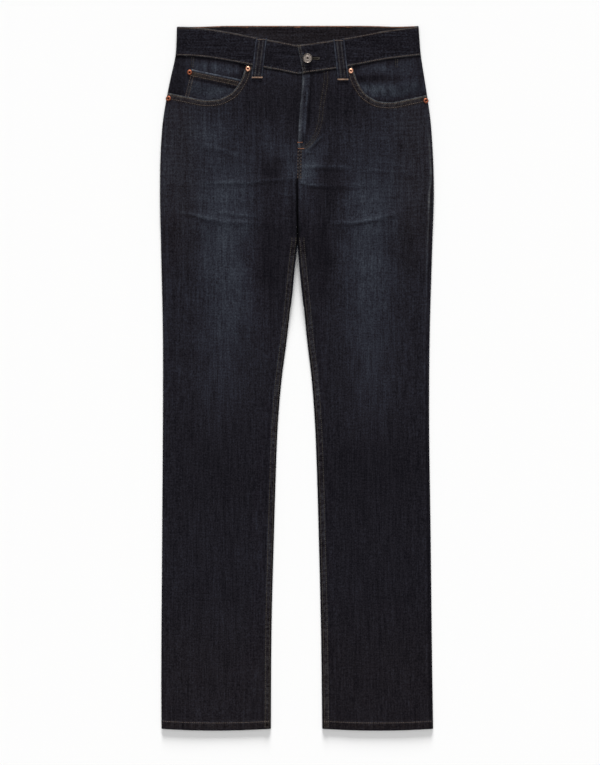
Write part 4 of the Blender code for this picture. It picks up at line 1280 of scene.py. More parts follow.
def coin_face(x, down):
    """Height and looks of the coin pocket: the facing's face, one layer up, with a folded, worn top edge,
    and painted shade below its hem and under the mouth's edge.
    """
    face = facing_height("right", x, down) + COIN_GAP + CLOTH
    below, along = coin_top.reach(x, down, 60)
    relief, wear = sewn(below, along, COIN_ROWS, 111, 0.3, 0.2, 7.0, 0.5)
    from_side = -coin_side.reach(x, down, 60)[0]
    face += relief - 0.2 * sum(bell(from_side, row, 0.9) for row in COIN_SIDE_ROWS)
    hem, side_rows = ease(2, 4, below) * ease(12, 10.5, below), bell(from_side, 4, 3)
    tone = COIN_TONE + 0.02 * wear + 0.17 * bell(below, 0.9, 1.3) * (0.85 + 0.25 * wander(along / 4, 113))
    # painted shade: a dark band below the hem's step, under its lower row
    tone += 0.012 * hem + 0.02 * side_rows - 0.075 * bell(below, 14.0, 2.2)
    tone += 0.006 * rumple(x, down, 115, 30, 9) + patches(x, down, COIN_PATCHES)
    # painted shade: darker under the front's mouth edge
    tone -= 0.03 * ease(9, 1, mouth_inside("right", x, down))
    return face, {"tone": tone, "rope": 0.6 * hem + 0.5 * side_rows, "rust": 0.9 * hem + 0.4 * side_rows}


def make_coin_pocket(wide=84.0, tall=40.0):
    """Rows run from the top edge to the foot, which lies under the front panel."""
    top, foot = np.array(COIN_TOP), np.array(COIN_FOOT)
    share = spread(0, 1, 0.026, (0.003, 0.008, 0.016, 0.026))
    near = (0.005, 0.014, 0.03, 0.05, 0.07, 0.09, 0.12, 0.16, 0.2, 0.24)
    step = spread(0, 1, 0.04, near, near[:3])[:, None]
    upper = top[0] + share[:, None] * (top[1] - top[0])
    lower = foot[0] + share[:, None] * (foot[1] - foot[0])
    x, down = np.moveaxis(upper + step[:, None] * (lower - upper), -1, 0)
    z, looks = coin_face(x, down)
    margin = to_edges((step * tall, tall), (share * wide, wide))
    sewn_piece("coin_pocket", to_frame(x, down, z), CLOTH, margin, denim_down, looks,
               rests_on=["facing_right"], finish="facing_denim")


make_coin_pocket()

# %% [markdown]
# ## Waistband
#
# The band is folded double, so its top and bottom are folds and not cut edges, and its thickness is two
# layers with their turnings. The left half laps over the right one at the button. Its warp runs round
# the waist.

# %% Waistband
BAND_ROWS = (2.0, BAND_DEPTH - 2.2)
END_ROWS = (1.8, 4.9)
BAND_EDGE_STEPS = (0.12, 0.4, 0.8, 1.3, 2.0, 2.8, 3.8, 5.0)
FOLD_STEPS = SIDE_STEPS[:6]
BAND_TONE = 0.104


def band_end(side, down):
    return UNDERLAP_END + 0 * down if side == "right" else flow(BAND_END, 1, down)


def band_face(side, x, down):
    """Height and looks of the front waistband."""
    depth = down - waist_edge(x)
    foot = BAND_DEPTH - depth
    lap = (BAND_THICK + SEAM_GAP) * ease(*BAND_LAP, x) if side == "left" else 0.0
    face = base(down) + BAND_RISE + lap + 0.2 * rumple(x, down, 121, 140, 30)
    waves = np.sin(2 * math.pi * x / 9 + 1.4 * wander(x / 16, 123)) * bell(depth, 4.5, 3)
    waves += np.sin(2 * math.pi * x / 8 + 1.4 * wander(x / 14, 124)) * bell(foot, 4.5, 3)
    face += 0.12 * waves - 0.25 * sum(bell(depth, row, 0.9) for row in BAND_ROWS)
    tone = BAND_TONE + 0.012 * waves + 0.005 * rumple(x, down, 125, 60, 15)
    tone += 0.11 * bell(depth, 1.5, 1.6) * (0.85 + 0.25 * wander(x / 6, 126))
    tone += 0.115 * bell(foot, 1.9, 1.8) * (0.85 + 0.2 * wander(x / 8, 127))
    rope = 0.5 * bell(depth, 4, 4) + 0.4 * bell(foot, 5, 4)
    rust = 0.7 * bell(depth, 1.5, 2.2) + 0.6 * bell(foot, 1.5, 2.2)
    if side == "left":
        from_end = x - band_end(side, down)
        face -= 0.22 * sum(bell(from_end, row, 0.9) for row in END_ROWS)
        tone += 0.09 * bell(from_end, 0.8, 1.2) + 0.05 * bell(from_end, 5.2, 1.2)
        from_button = np.hypot(x - BUTTON_AT[0], down - BUTTON_AT[1])
        tone += 0.03 * bell(from_button, 11, 2.5) * (x < BUTTON_AT[0])
        rope += 0.6 * bell(from_end, 3, 4)
        rust += 0.3 * bell(from_end, 3, 3)
    edge = base(down) + (BAND_RISE + SEAM_GAP) / 2
    looks = {"tone": tone, "rope": rope, "rust": rust}
    return face + turned(face, edge, np.abs(x - outer_edge(side, down)), BAND_TURN), looks


def make_front_band(side, step=2.2):
    """Half of the front waistband, from its fold at the side seam to the fly."""
    run = abs(float(outer_edge(side, 40.0)) - float(band_end(side, 50.0)))
    q = spread(0, run, step, FOLD_STEPS, BAND_EDGE_STEPS)
    depth = spread(0, BAND_DEPTH, step, BAND_EDGE_STEPS)[:, None]
    share = np.clip((q - BAND_TURN) / (run - BAND_TURN), 0, 1)

    def x_at(down):
        out = outer_edge(side, down)
        start = out - SIGN[side] * corner(q, BAND_TURN)
        return start + share * (band_end(side, down) - (out - SIGN[side] * BAND_TURN))

    down = settle(30.0 + depth + 0 * q, lambda down: waist_edge(x_at(down)) + depth)
    x = x_at(down)
    z, looks = band_face(side, x, down)
    sewn_piece(
        f"waistband_front_{side}", to_frame(x, down, z), BAND_THICK, to_edges((depth, BAND_DEPTH), (q, run)),
        denim_across, looks, rests_on=[f"facing_{side}", "waistband_back"], inside_tone=0.12,
        cut=cut_buttonhole if side == "left" else None)


def cut_buttonhole(piece):
    """Cuts the keyhole right through: a round eye for the shank and a slit towards the side."""
    eye, slit, reach = BUTTONHOLE
    start = math.asin(slit / eye)
    turns = np.linspace(start, 2 * math.pi - start, 24)
    outline = np.concatenate([
        eye * np.stack([np.cos(turns), np.sin(turns)], axis=1), [(reach, -slit), (reach, slit)]]) + BUTTON_AT
    count = len(outline)
    points = np.concatenate([to_frame(*outline.T, z) for z in (0.0, 25.0)])
    sides = [(i, count + i, count + (i + 1) % count, (i + 1) % count) for i in range(count)]
    tool = add_mesh("buttonhole_tool", points, [*sides, range(count), range(2 * count - 1, count - 1, -1)],
                    denim_across)
    boolean = piece.modifiers.new("buttonhole", "BOOLEAN")
    boolean.operation, boolean.object = "DIFFERENCE", tool
    holed = bpy.data.meshes.new_from_object(piece.evaluated_get(bpy.context.evaluated_depsgraph_get()))
    piece.modifiers.clear()
    piece.data = holed
    bpy.data.objects.remove(tool)


def back_band_face(x, down):
    """Height and tone of the back waistband's outer side, which faces the table."""
    depth = down - back_edge(x)
    face = base(down) + 0.3 * sum(bell(depth, row, 1.0) for row in BAND_ROWS)
    edge = base(down) + (BAND_RISE - SEAM_GAP) / 2
    side_off = np.minimum(*(np.abs(x - outer_edge(side, down)) for side in SIGN))
    tone = BAND_TONE + 0.004 * rumple(x, down, 131, 60, 15) + 0.04 * bell(depth, 0.3, 0.9)
    return face + turned(face, edge, side_off, BAND_TURN), tone


def make_back_band(step=3.4):
    """The back waistband, from fold to fold. Its inner side shows over the front's edge."""
    run = float(outer_edge("left", 20.0) - outer_edge("right", 20.0))
    q = spread(0, run, step, FOLD_STEPS)
    depth = spread(0, BAND_DEPTH, step, BAND_EDGE_STEPS)[:, None]
    share = np.clip((q - BAND_TURN) / (run - 2 * BAND_TURN), 0, 1)

    def x_at(down):
        start, end = outer_edge("right", down), outer_edge("left", down)
        level = start + BAND_TURN + share * (end - start - 2 * BAND_TURN)
        far = np.where(run - q < BAND_TURN, end - corner(run - q, BAND_TURN), level)
        return np.where(q < BAND_TURN, start + corner(q, BAND_TURN), far)

    down = settle(BACK_TOP + depth + 0 * q, lambda down: back_edge(x_at(down)) + depth)
    x = x_at(down)
    z, tone = back_band_face(x, down)
    worn = bell(depth, 1.0, 1.5)
    margin = to_edges((depth, BAND_DEPTH), (q, run))
    sewn_piece(
        "waistband_back", to_frame(x, down, z), BAND_THICK, margin, denim_across, tone, up=-1,
        rests_on=["loop_back_right", "loop_back_centre", "loop_back_left"],
        inside_tone=0.115 + 0.15 * worn, inside_rust=0.4 + 0.6 * worn)


for side in SIGN:
    make_front_band(side)
make_back_band()

# %% [markdown]
# ## Behind the fly
#
# The shield and the zip are hidden while the fly is shut, but they hold it up, so they are built too: a
# plain layer of denim, a woven tape and a row of interlocked teeth.

# %% Fly shield and zip
def under_fly(down):
    return base(down) + flow(LOFT, 1, down) - CLOTH


def make_fly_shield(top=77.5, foot=176.0, behind=8.0):
    share = spread(0, 1, 0.08, (0.01, 0.03))
    step = spread(0, 1, 0.04, (0.003, 0.008))[:, None]
    down = top + step * (foot - top) + 0 * share
    wide = behind + np.minimum(fly_curve(down), 30)
    grid = to_frame(fly_edge(down) - behind + share * wide, down, under_fly(down) - SEAM_GAP)
    margin = to_edges((share * wide, wide), (down - top, foot - top))
    sewn_piece("fly_shield", grid, CLOTH, margin, denim_down, 0.125, rests_on=["yoke_left"])


def make_zip(start=78.5, end=156.0, tape=(4.6, 17.0), teeth=(5.6, 10.2), pitch=1.55):
    """A tape with one joined mesh of teeth: wedges that come in turn from the left and the right."""
    share, down = spread(0, 1, 0.1, (0.02,)), spread(start, end, 3.0, (0.4,))[:, None]
    grid = to_frame(fly_edge(down) + tape[0] + share * (tape[1] - tape[0]), down, under_fly(down) + 0.95)
    margin = to_edges((share * 12, 12), (down - start, end - start))
    sewn_piece("fly_zip", grid, 0.9, margin, denim_across, 0.12, rests_on=["fly_shield"], finish="zip_tape",
               end="tape", inside_tone=0.12)
    places = np.arange(start + 1.5, end - 1.5, pitch)
    flip = np.where(np.arange(len(places)) % 2, 1.0, -1.0)[:, None]
    corners = np.array([(-1, -0.45), (0.55, -0.45), (0.8, 0), (0.55, 0.45), (-1, 0.45)])
    half = (teeth[1] - teeth[0]) / 2
    across = fly_edge(places)[:, None] + teeth[0] + half + flip * half * corners[:, 0]
    along = places[:, None] + pitch * corners[:, 1]
    levels = [to_frame(across, along, (under_fly(places) + height)[:, None]) for height in (1.0, 2.2)]
    points = np.stack(levels, axis=1)
    count = len(corners)
    sides = [(i, (i + 1) % count, count + (i + 1) % count, count + i) for i in range(count)]
    pattern = [*sides, tuple(reversed(range(count))), tuple(range(count, 2 * count))]
    faces = []
    for k in range(len(places)):
        turn = pattern if flip[k] < 0 else [face[::-1] for face in pattern]
        faces += [tuple(2 * count * k + i for i in face) for face in turn]
    enlist(add_mesh("fly_zip_teeth", points.reshape(-1, 3), faces, copper))
    print("zip:", len(places), "teeth")


make_fly_shield()
make_zip()

# %% [markdown]
# ## Belt loops and back pockets
#
# A loop is a strip folded in three and sewn down both sides. It crosses the thick band and steps down
# onto the panel below. The back pockets and back loops lie flat on the table, so their stitches sink in
# too.

# %% Belt loops
LOOP_HALF = LOOP_WIDTH / 2
LOOP_EDGE_STEPS = (0.12, 0.35, 0.7, 1.2, 2.0, 2.8)
LOOP_END_STEPS = LOOP_EDGE_STEPS[:3]
LOOP_ROWS = 5.4  # how far the two rows lie in from the edges


def loop_middle(side, down):
    """x of a front loop's middle line, and down of its top."""
    top_x, foot_x, foot_down = FRONT_LOOPS[side]
    top = float(waist_edge(top_x))
    return top_x + (down - top) / (foot_down - top) * (foot_x - top_x), top


def loop_height(side, x, down):
    """Upper face of a front loop, over the band and down a step onto the panel, and the distance across."""
    middle, top = loop_middle(side, down)
    band, panel = base(down) + BAND_RISE, front_height(side, middle, down)
    step = ease(top + BAND_DEPTH + 0.6, top + BAND_DEPTH + 7, down)
    across = x - middle
    dents = bell(np.abs(across), LOOP_HALF - LOOP_ROWS, 0.8)
    face = band + (panel - band) * step + SEAM_GAP + STRAP_THICK
    face = face - 0.16 * dents + 0.14 * bell(across, 0, 4) + 0.08 * np.sin(down / 1.5) * dents
    pressed = bell(down, FRONT_LOOPS[side][2] - 2.2, 1.6) + bell(down, top + 2.6, 1.6)
    return face - 0.2 * pressed, across


def loop_tone(across, down, seed):
    """Worn pale at both edges and over both rows of stitching."""
    rub = 0.8 + 0.3 * wander(down / 5, seed)
    edge = bell(np.abs(across), LOOP_HALF - 0.7, 1.1)
    row = bell(np.abs(across), LOOP_HALF - LOOP_ROWS, 1.2)
    tone = 0.105 + (0.14 * edge + 0.10 * row) * rub + 0.01 * wander(down / 3 + across, seed + 1)
    return {"tone": tone, "rope": 0.5, "rust": 0.3 * row + 0.25 * bell(across, 0, 2.5)}


def make_front_loop(side):
    start, foot = loop_middle(side, 0.0)[1] + 0.2, FRONT_LOOPS[side][2]
    across = spread(-LOOP_HALF, LOOP_HALF, 0.8, LOOP_EDGE_STEPS)
    down = spread(start, foot, 1.3, LOOP_END_STEPS)[:, None]
    x = loop_middle(side, down)[0] + across
    z, offset = loop_height(side, x, down)
    sewn_piece(
        f"loop_front_{side}", to_frame(x, down, z), STRAP_THICK,
        to_edges((across + LOOP_HALF, LOOP_WIDTH), (down - start, foot - start)), denim_down,
        loop_tone(offset, down, 141 if side == "right" else 143), rests_on=[f"waistband_front_{side}"])


def make_back_loop(name, middle):
    """A loop on the underside: its outer face is the table's plane, but for two grooves."""
    across = spread(-LOOP_HALF, LOOP_HALF, 0.9, LOOP_EDGE_STEPS)
    down = spread(*BACK_LOOP_SPAN, 2.4, LOOP_END_STEPS)[:, None]
    start, foot = BACK_LOOP_SPAN
    z = 0.5 * bell(np.abs(across), LOOP_HALF - LOOP_ROWS, 0.9)
    sewn_piece(
        f"loop_back_{name}", to_frame(middle + across, down, z), STRAP_THICK,
        to_edges((across + LOOP_HALF, LOOP_WIDTH), (down - start, foot - start)), denim_down,
        loop_tone(across, down, 151), up=-1)


for side in SIGN:
    make_front_loop(side)
for name, middle in BACK_LOOPS.items():
    make_back_loop(name, middle)

# %% Back pockets
POCKET_ROWS = (1.8, 7.4)
POCKET_HEM_ROWS = (11.5, 13.5)


def pocket_rows(side):
    """The outline, down one side, round the point and up the other, and the hem across the top."""
    corners = np.array([(SIGN[side] * x, down) for x, down in BACK_POCKET])
    top_in, top_out, low_out, tip, low_in = corners
    outline = Row([top_in, low_in, tip, low_out, top_out])
    hem = Row([top_in, top_out]) if side == "left" else Row([top_out, top_in])
    return outline, hem


for side in SIGN:
    outline, hem = pocket_rows(side)
    rows[f"pocket_{side}"] = [Row(outline.beside(-SIGN[side] * d).points[3:-3]) for d in POCKET_ROWS]
    rows[f"pocket_hem_{side}"] = [Row(hem.beside(d).points[9:-9]) for d in POCKET_HEM_ROWS]


def pocket_face(side, x, down):
    """Height and tone of a back pocket's outer side: flat on the table, but for the rows' grooves."""
    outline, hem = pocket_rows(side)
    inside = -SIGN[side] * outline.reach(x, down, 14)[0]
    below = hem.reach(x, down, 20)[0]
    z = back_sewn(inside, POCKET_ROWS, 0.5) + back_sewn(below, POCKET_HEM_ROWS, 0.45)
    tone = 0.14 + 0.012 * rumple(x, down, 161, 70, 16)
    return np.minimum(z, 0.6), tone + 0.07 * bell(inside, 0.4, 1.2) + 0.06 * bell(below, 0.4, 1.2)


def make_back_pocket(side, wide=125.0, tall=130.0):
    """Columns run from the pocket's straight top to its pointed foot."""
    share = spread(0, 1, 0.026, (0.001, 0.005, 0.012, 0.026, 0.042, 0.055, 0.07))
    top_steps = (0.001, 0.005, 0.012, 0.05, 0.09, 0.1, 0.11)
    step = spread(0, 1, 0.024, top_steps, (0.001, 0.005, 0.015, 0.03, 0.055, 0.07))[:, None]
    top_in, top_out, low_out, tip, low_in = np.array(BACK_POCKET, float)
    top_x, top_down = (top_in + share[:, None] * (top_out - top_in)).T
    foot_x = low_in[0] + share * (low_out[0] - low_in[0])
    foot_down = np.interp(foot_x, *np.transpose([low_in, tip, low_out]))
    x = SIGN[side] * (top_x + step * (foot_x - top_x))
    down = top_down + step * (foot_down - top_down)
    z, tone = pocket_face(side, x, down)
    sewn_piece(f"back_pocket_{side}", to_frame(x, down, z), STRAP_THICK,
               to_edges((share * wide, wide), (step * tall, tall)), denim_down, tone, up=-1)


for side in SIGN:
    make_back_pocket(side)

# %% [markdown]
# ## Button and rivets
#
# Metal parts are profiles turned about an axis. The button is a shank button with a dished face, a ring
# of small dots inside its rim and a hollow in the middle. Each rivet is a ring pressed round a small
# hollow, and those at the side seams lean with the turn of the cloth. A near-black plug in each hollow
# is painted shade.

# %% Turned metal
def turned_points(profile, steps):
    """Points and faces of a profile (radius, height) turned about Z, where its ends lie on the axis."""
    profile = np.array(profile, float)
    angle = np.linspace(0, 2 * math.pi, steps, endpoint=False)
    radius, height = profile[1:-1, :1], profile[1:-1, 1:]
    ring = np.stack([radius * np.cos(angle), radius * np.sin(angle), height + 0 * angle], axis=-1)
    points = np.concatenate([[(0, 0, profile[0, 1])], ring.reshape(-1, 3), [(0, 0, profile[-1, 1])]])
    k = 1 + np.arange(radius.size * steps).reshape(radius.size, steps)
    after = np.roll(k, -1, axis=1)
    walls = np.stack([k[:-1], k[1:], after[1:], after[:-1]], axis=-1).reshape(-1, 4).tolist()
    last = len(points) - 1
    top = [(0, int(a), int(b)) for a, b in zip(k[0], after[0])]
    foot = [(last, int(b), int(a)) for a, b in zip(k[-1], after[-1])]
    return points, walls + top + foot


def rounded(profile, levels=2):
    """Cuts each corner of a profile twice at a quarter and three quarters, which leaves a smooth curve."""
    profile = np.array(profile, float)
    for _ in range(levels):
        one, two = profile[:-1], profile[1:]
        cut = np.stack([one * 0.75 + two * 0.25, one * 0.25 + two * 0.75], axis=1)
        profile = np.concatenate([profile[:1], cut.reshape(-1, 2), profile[-1:]])
    return profile


def set_down(points, x, down, z, lean=0.0):
    """Leans points about Y and moves them to a place on the cloth."""
    cosine, sine = math.cos(lean), math.sin(lean)
    turn = np.array([(cosine, 0, sine), (0, 1, 0), (-sine, 0, cosine)])
    return points @ turn.T + np.array([x, LENGTH / 2 - down, z])


def metal_piece(name, node, parts, materials):
    """Joins turned parts into one piece that stands for a node. Each part names its material by number."""
    points, faces, numbers, start = [], [], [], 0
    for some_points, some_faces, number in parts:
        points.append(some_points)
        faces += [tuple(start + i for i in face) for face in some_faces]
        numbers += [number] * len(some_faces)
        start += len(some_points)
    piece = add_mesh(name, np.concatenate(points), faces, materials[0])
    for material in materials[1:]:
        piece.data.materials.append(material)
    piece.data.polygons.foreach_set("material_index", numbers)
    enlist(piece, node)
    print(f"{name}: {len(faces)} faces")


# %% Button
BUTTON_RADIUS = 7.4


def make_button():
    """Cap, rim, dots and shank."""
    over, rim = BAND_THICK + 2 * SEAM_GAP, BUTTON_RADIUS
    cap = [
        (0, 1.3), (0.8, 1.3), (1.3, 1.6), (1.7, 2.3), (2.7, 2.5), (3.7, 2.25), (4.3, 1.95), (6.0, 2.0),
        (6.3, 2.3), (6.8, 2.8), (rim - 0.25, 2.65), (rim, 1.9), (rim - 0.1, 0.9), (rim - 0.9, 0.1),
        (2.4, 0.0), (2.4, -over), (0, -over),
    ]
    x, down = BUTTON_AT
    z = float(base(down)) + BAND_RISE + SEAM_GAP + over
    profile, faces = turned_points(rounded(cap), 56)
    parts = [(set_down(profile, x, down, z), faces, 0)]
    dot, dot_faces = turned_points([(0, 0.42), (0.22, 0.36), (0.36, 0.16), (0.38, -0.1), (0, -0.1)], 8)
    for angle in np.linspace(0, 2 * math.pi, 26, endpoint=False):
        spot = (x + 5.25 * math.cos(angle), down + 5.25 * math.sin(angle))
        parts.append((set_down(dot, *spot, z + 2.0), dot_faces, 0))
    # painted shade: a near-black plug in the button's central hollow
    plug, plug_faces = turned_points([(0, 1.55), (0.9, 1.5), (1.45, 1.45), (1.45, 1.2), (0, 1.2)], 20)
    parts.append((set_down(plug, x, down, z), plug_faces, 1))
    metal_piece("waist_button_metal", "waist_button", parts, (nickel, hollow))


make_button()

# %% Rivets
RIVET_RADIUS = 4.3


def make_rivet(node, x, down, z, lean=0.0, finish=old_copper):
    """A ring with a rounded shoulder round a small hollow, where its post was closed; a dark plug in it is
    painted shade.
    """
    ring = [
        (0, 0.3), (0.7, 0.3), (1.15, 0.45), (1.45, 1.1), (1.9, 1.5), (2.9, 1.45), (3.8, 0.9),
        (RIVET_RADIUS, 0.3), (RIVET_RADIUS, 0), (0, 0),
    ]
    # painted shade: the plug, in the near-black metal, darkens the rivet's central hollow
    plug = [(0, 0.62), (0.7, 0.6), (1.25, 0.55), (1.25, 0.3), (0, 0.3)]
    parts = []
    for number, (profile, steps) in enumerate(((rounded(ring), 32), (plug, 20))):
        points, faces = turned_points(profile, steps)
        parts.append((set_down(points, x, down, z + SEAM_GAP, lean), faces, number))
    metal_piece(f"{node}_metal", node, parts, (finish, hollow))


def make_side_rivet(side):
    """A rivet at the side seam, tangent to the turn of the cloth."""
    down = SIDE_RIVETS[side]
    edge, seam = float(outer_edge(side, down)), float(seam_height(down))
    rise = float(front_height(side, edge, down)) - seam
    phase = math.radians(SIDE_RIVET_PHASE)
    x = edge - SIGN[side] * SIDE_TURN * (1 - math.cos(phase))
    lean = SIGN[side] * math.atan2(rise * math.cos(phase), SIDE_TURN * math.sin(phase))
    make_rivet(f"rivet_{side}_side", x, down, seam + rise * math.sin(phase), lean)


for side in SIGN:
    spot = MOUTH_RIVETS[side]
    make_rivet(f"rivet_{side}_top", *spot, float(front_height(side, *spot)), finish=copper)
    make_side_rivet(side)
make_rivet("rivet_coin", *COIN_RIVET, float(facing_height("right", *COIN_RIVET)) + COIN_GAP + CLOTH)
print("rivets: 5")

# %% [markdown]
# ## Stitches
#
# Every stitch is a real one: a short thread that dips into the cloth at both ends. All the stitches of
# one colour on one side of the garment are a single joined mesh. Each has only four rings of six
# points, because there are thousands.

# %% Threads
PITCH, STITCH, THREAD = 3.2, 2.6, 0.78  # from stitch to stitch, a stitch's length and its thickness
RINGS, SIDES = 4, 6  # each thread's rings, and the points of a ring


def threads(ends, height_at, up=1, wide=THREAD, arch=0.22, rise=0.1):
    """Threads between pairs of places, count x 2 x (x, down).

    The centre lies rise above the cloth, and arch * 4t(1-t) higher along it. Each ring is an ellipse across
    the thread, smaller at the ends.
    """
    t, size = np.array([0, 0.28, 0.72, 1.0]), np.array([0.45, 1.0, 1.0, 0.45]) * wide / 2
    spots = ends[:, None, 0] + t[:, None] * (ends[:, None, 1] - ends[:, None, 0])
    x, down = spots[..., 0], spots[..., 1]
    z = height_at(x, down) + up * (rise + arch * 4 * t * (1 - t) - 0.2 * (size < wide / 2.5))
    centre = to_frame(x, down, z)
    along = centre[:, -1] - centre[:, 0]
    along /= np.linalg.norm(along, axis=1, keepdims=True)
    side_way = np.cross(along, [0, 0, 1.0])
    side_way /= np.linalg.norm(side_way, axis=1, keepdims=True)
    lift = np.cross(side_way, along)
    angle = np.linspace(0, 2 * math.pi, SIDES, endpoint=False)[:, None]
    around = np.cos(angle) * side_way[:, None, None] + 0.8 * np.sin(angle) * lift[:, None, None]
    return centre[:, :, None] + size[None, :, None, None] * around


def stitch(row, height_at, pitch=PITCH, length=STITCH, **shape):
    """Evenly spaced stitches along a row, each a little longer or shorter than the last."""
    count = max(int(row.length / pitch), 1)
    middle = (np.arange(count) + 0.5) * row.length / count
    half = length / 2 * (1 + 0.08 * np.sin(np.arange(count) * 2.4))
    return threads(np.stack([row.at(middle - half), row.at(middle + half)], axis=1), height_at, **shape)


def tack(x, down, turn, height_at, length=9.0, across=2.2, count=11, **shape):
    """A bar tack: threads laid side by side across a short line at an angle turn from +x."""
    run, way = np.array([math.cos(turn), math.sin(turn)]), np.array([-math.sin(turn), math.cos(turn)])
    s = np.linspace(-length / 2, length / 2, count)[:, None]
    start = np.array([x, down]) + s * run - way * across / 2
    end = np.array([x, down]) + (s + 0.35) * run + way * across / 2
    return threads(np.stack([start, end], axis=1), height_at, wide=0.85, **shape)


def thread_piece(name, groups, material):
    """Joins threads into one mesh: each has three bands of six quads and two caps."""
    rings = np.concatenate(groups)
    count = len(rings)
    k = np.arange(RINGS * SIDES).reshape(RINGS, SIDES)
    after = np.roll(k, -1, axis=1)
    bands = np.stack([k[:-1], k[1:], after[1:], after[:-1]], axis=-1).reshape(-1, 4)
    caps = np.stack([k[0], k[-1, ::-1]])
    starts = np.arange(count)[:, None, None] * k.size
    faces = (starts + bands).reshape(-1, 4).tolist() + (starts + caps).reshape(-1, SIDES).tolist()
    enlist(add_mesh(name, rings.reshape(-1, 3), faces, material))
    print(f"{name}: {count} threads")


def level(face, *side):
    """The height alone of a face function."""
    return lambda x, down: face(*side, x, down)[0]


def hem_row(side, from_side, from_inner):
    """The hem's row, from a distance inside the side seam to one inside the inner edge."""
    return cross(
        lambda x: hem_line(share_at(side, x, 1090.0)) - HEM_ROW,
        float(outer_edge(side, 1088.0)) - SIGN[side] * from_side,
        float(inner_edge(side, 1088.0)) + SIGN[side] * from_inner)


# %% Stitches of the front
def band_row(side, depth):
    """A row along the waistband, at a depth under its top edge."""
    end = 1.0 if side == "right" else float(band_end(side, waist_edge(0.0) + depth)) + 1.0
    start = float(outer_edge(side, 5.0 + depth)) - SIGN[side] * 2.5
    return cross(lambda x: waist_edge(x) + depth, start, end)


def band_end_row(distance):
    return line(lambda d: flow(BAND_END, 1, d) + distance, 33.5, 72.0)


brown, olive, tan, rusty = [], [], [], []
on_left, on_left_band = level(front_face, "left"), level(band_face, "left")
for side in SIGN:
    brown += [stitch(row, level(front_face, side)) for row in rows[f"mouth_{side}"]]
    olive += [stitch(row, level(front_face, side)) for row in rows[f"inseam_{side}"]]
    brown.append(stitch(hem_row(side, 2.0, 2.0), level(front_face, side)))
    brown += [stitch(band_row(side, depth), level(band_face, side), wide=0.9) for depth in BAND_ROWS]
olive += [stitch(row, on_left, wide=0.6) for row in rows["fly"]]
brown += [stitch(row, on_left, pitch=4.8, length=3.4, wide=0.95) for row in rows["crotch"]]
olive += [stitch(band_end_row(distance), on_left_band) for distance in END_ROWS]
brown += [stitch(row, level(coin_face)) for row in rows["coin"] + rows["coin_side"]]
print("front rows sewn:", sum(map(len, brown)) + sum(map(len, olive)), "stitches")

# %% Tacks, loops and the buttonhole
FLY_TACKS = ((4.6, 183.0, 7.5, 9), (6.2, 192.6, 9.0, 11))  # x, down, length, count
FACING_MARKS = {"right": -162.5, "left": 155.0}  # x of the short rows that hold the pocket bags

for side in SIGN:
    top_x, foot_x, foot_down = FRONT_LOOPS[side]
    top = float(waist_edge(top_x))
    height = level(loop_height, side)
    for offset in (LOOP_ROWS - LOOP_HALF, LOOP_HALF - LOOP_ROWS):
        row = Row([(top_x + offset, top + 5), (foot_x + offset, foot_down - 5)])
        olive.append(stitch(row, height, wide=0.6))
    tan.append(tack(foot_x - SIGN[side] * 0.8, foot_down - 2.6, 0.0, height, 16.0, 2.4, 19))
    brown.append(tack(top_x, top + 2.6, 0.0, height, 12.5, 1.5, 15))
rusty += [tack(x, down, 0.0, on_left, length, 1.7, count) for x, down, length, count in FLY_TACKS]
for side, x in FACING_MARKS.items():
    for offset in (-1.8, 1.8):
        row = Row([(x + offset, front_top(x) + 0.5), (x + offset * 0.6, 66.5)])
        olive.append(stitch(row, level(facing_face, side), wide=0.7))

eye_x, eye_down = BUTTON_AT
slit = np.arange(eye_x + BUTTON_RADIUS - 0.5, eye_x + BUTTONHOLE[2] + 0.4, 0.75)
for way in (-1, 1):
    start = np.stack([slit, eye_down + way * 0.55 + 0 * slit], axis=1)
    olive.append(threads(np.stack([start, start + (0.2, way * 1.45)], axis=1), on_left_band, wide=0.65))
fan = np.linspace(-1.3, 1.3, 6)
heart = np.array([eye_x + BUTTONHOLE[2] + 0.2, eye_down])
spokes = np.stack([np.cos(fan), np.sin(fan)], axis=1)
ends = np.stack([heart + 0.5 * spokes, heart + 2.0 * spokes], axis=1)
olive.append(threads(ends, on_left_band, wide=0.65))
print("tacks and buttonhole added:", sum(map(len, tan)), "tan threads")

# %% Inside of the back waistband
def inside_back_band(x, down):
    return base(down) + BAND_THICK


for depth, group, wide in ((1.1, rusty, 1.8), (BAND_ROWS[1], brown, 0.9)):
    row = cross(lambda x: back_edge(x) + depth, -184.0, 184.0)
    group.append(stitch(row, inside_back_band, length=3.6, rise=0.05, wide=wide))
for middle in BACK_LOOPS.values():
    rusty.append(tack(middle, BACK_TOP + 2.4, 0.0, inside_back_band, 9.0, 1.8, 10))

thread_piece("stitches_front_brown", brown, thread_brown)
thread_piece("stitches_front_olive", olive, thread_olive)
thread_piece("tacks_front_tan", tan, thread_tan)
thread_piece("tacks_front_rust", rusty, thread_rust)

# %% Stitches of the underside
under, under_tan = [], []


def raised(height_at, least=0.45):
    """The same height, but never so low that a thread lying there would go into the table."""
    return lambda x, down: np.maximum(height_at(x, down), least)


def sew_under(row, height_at):
    """Straight threads in a groove of the underside, clear of the table."""
    under.append(stitch(row, raised(height_at, 0.53), up=-1, arch=0.0, rise=0.2))


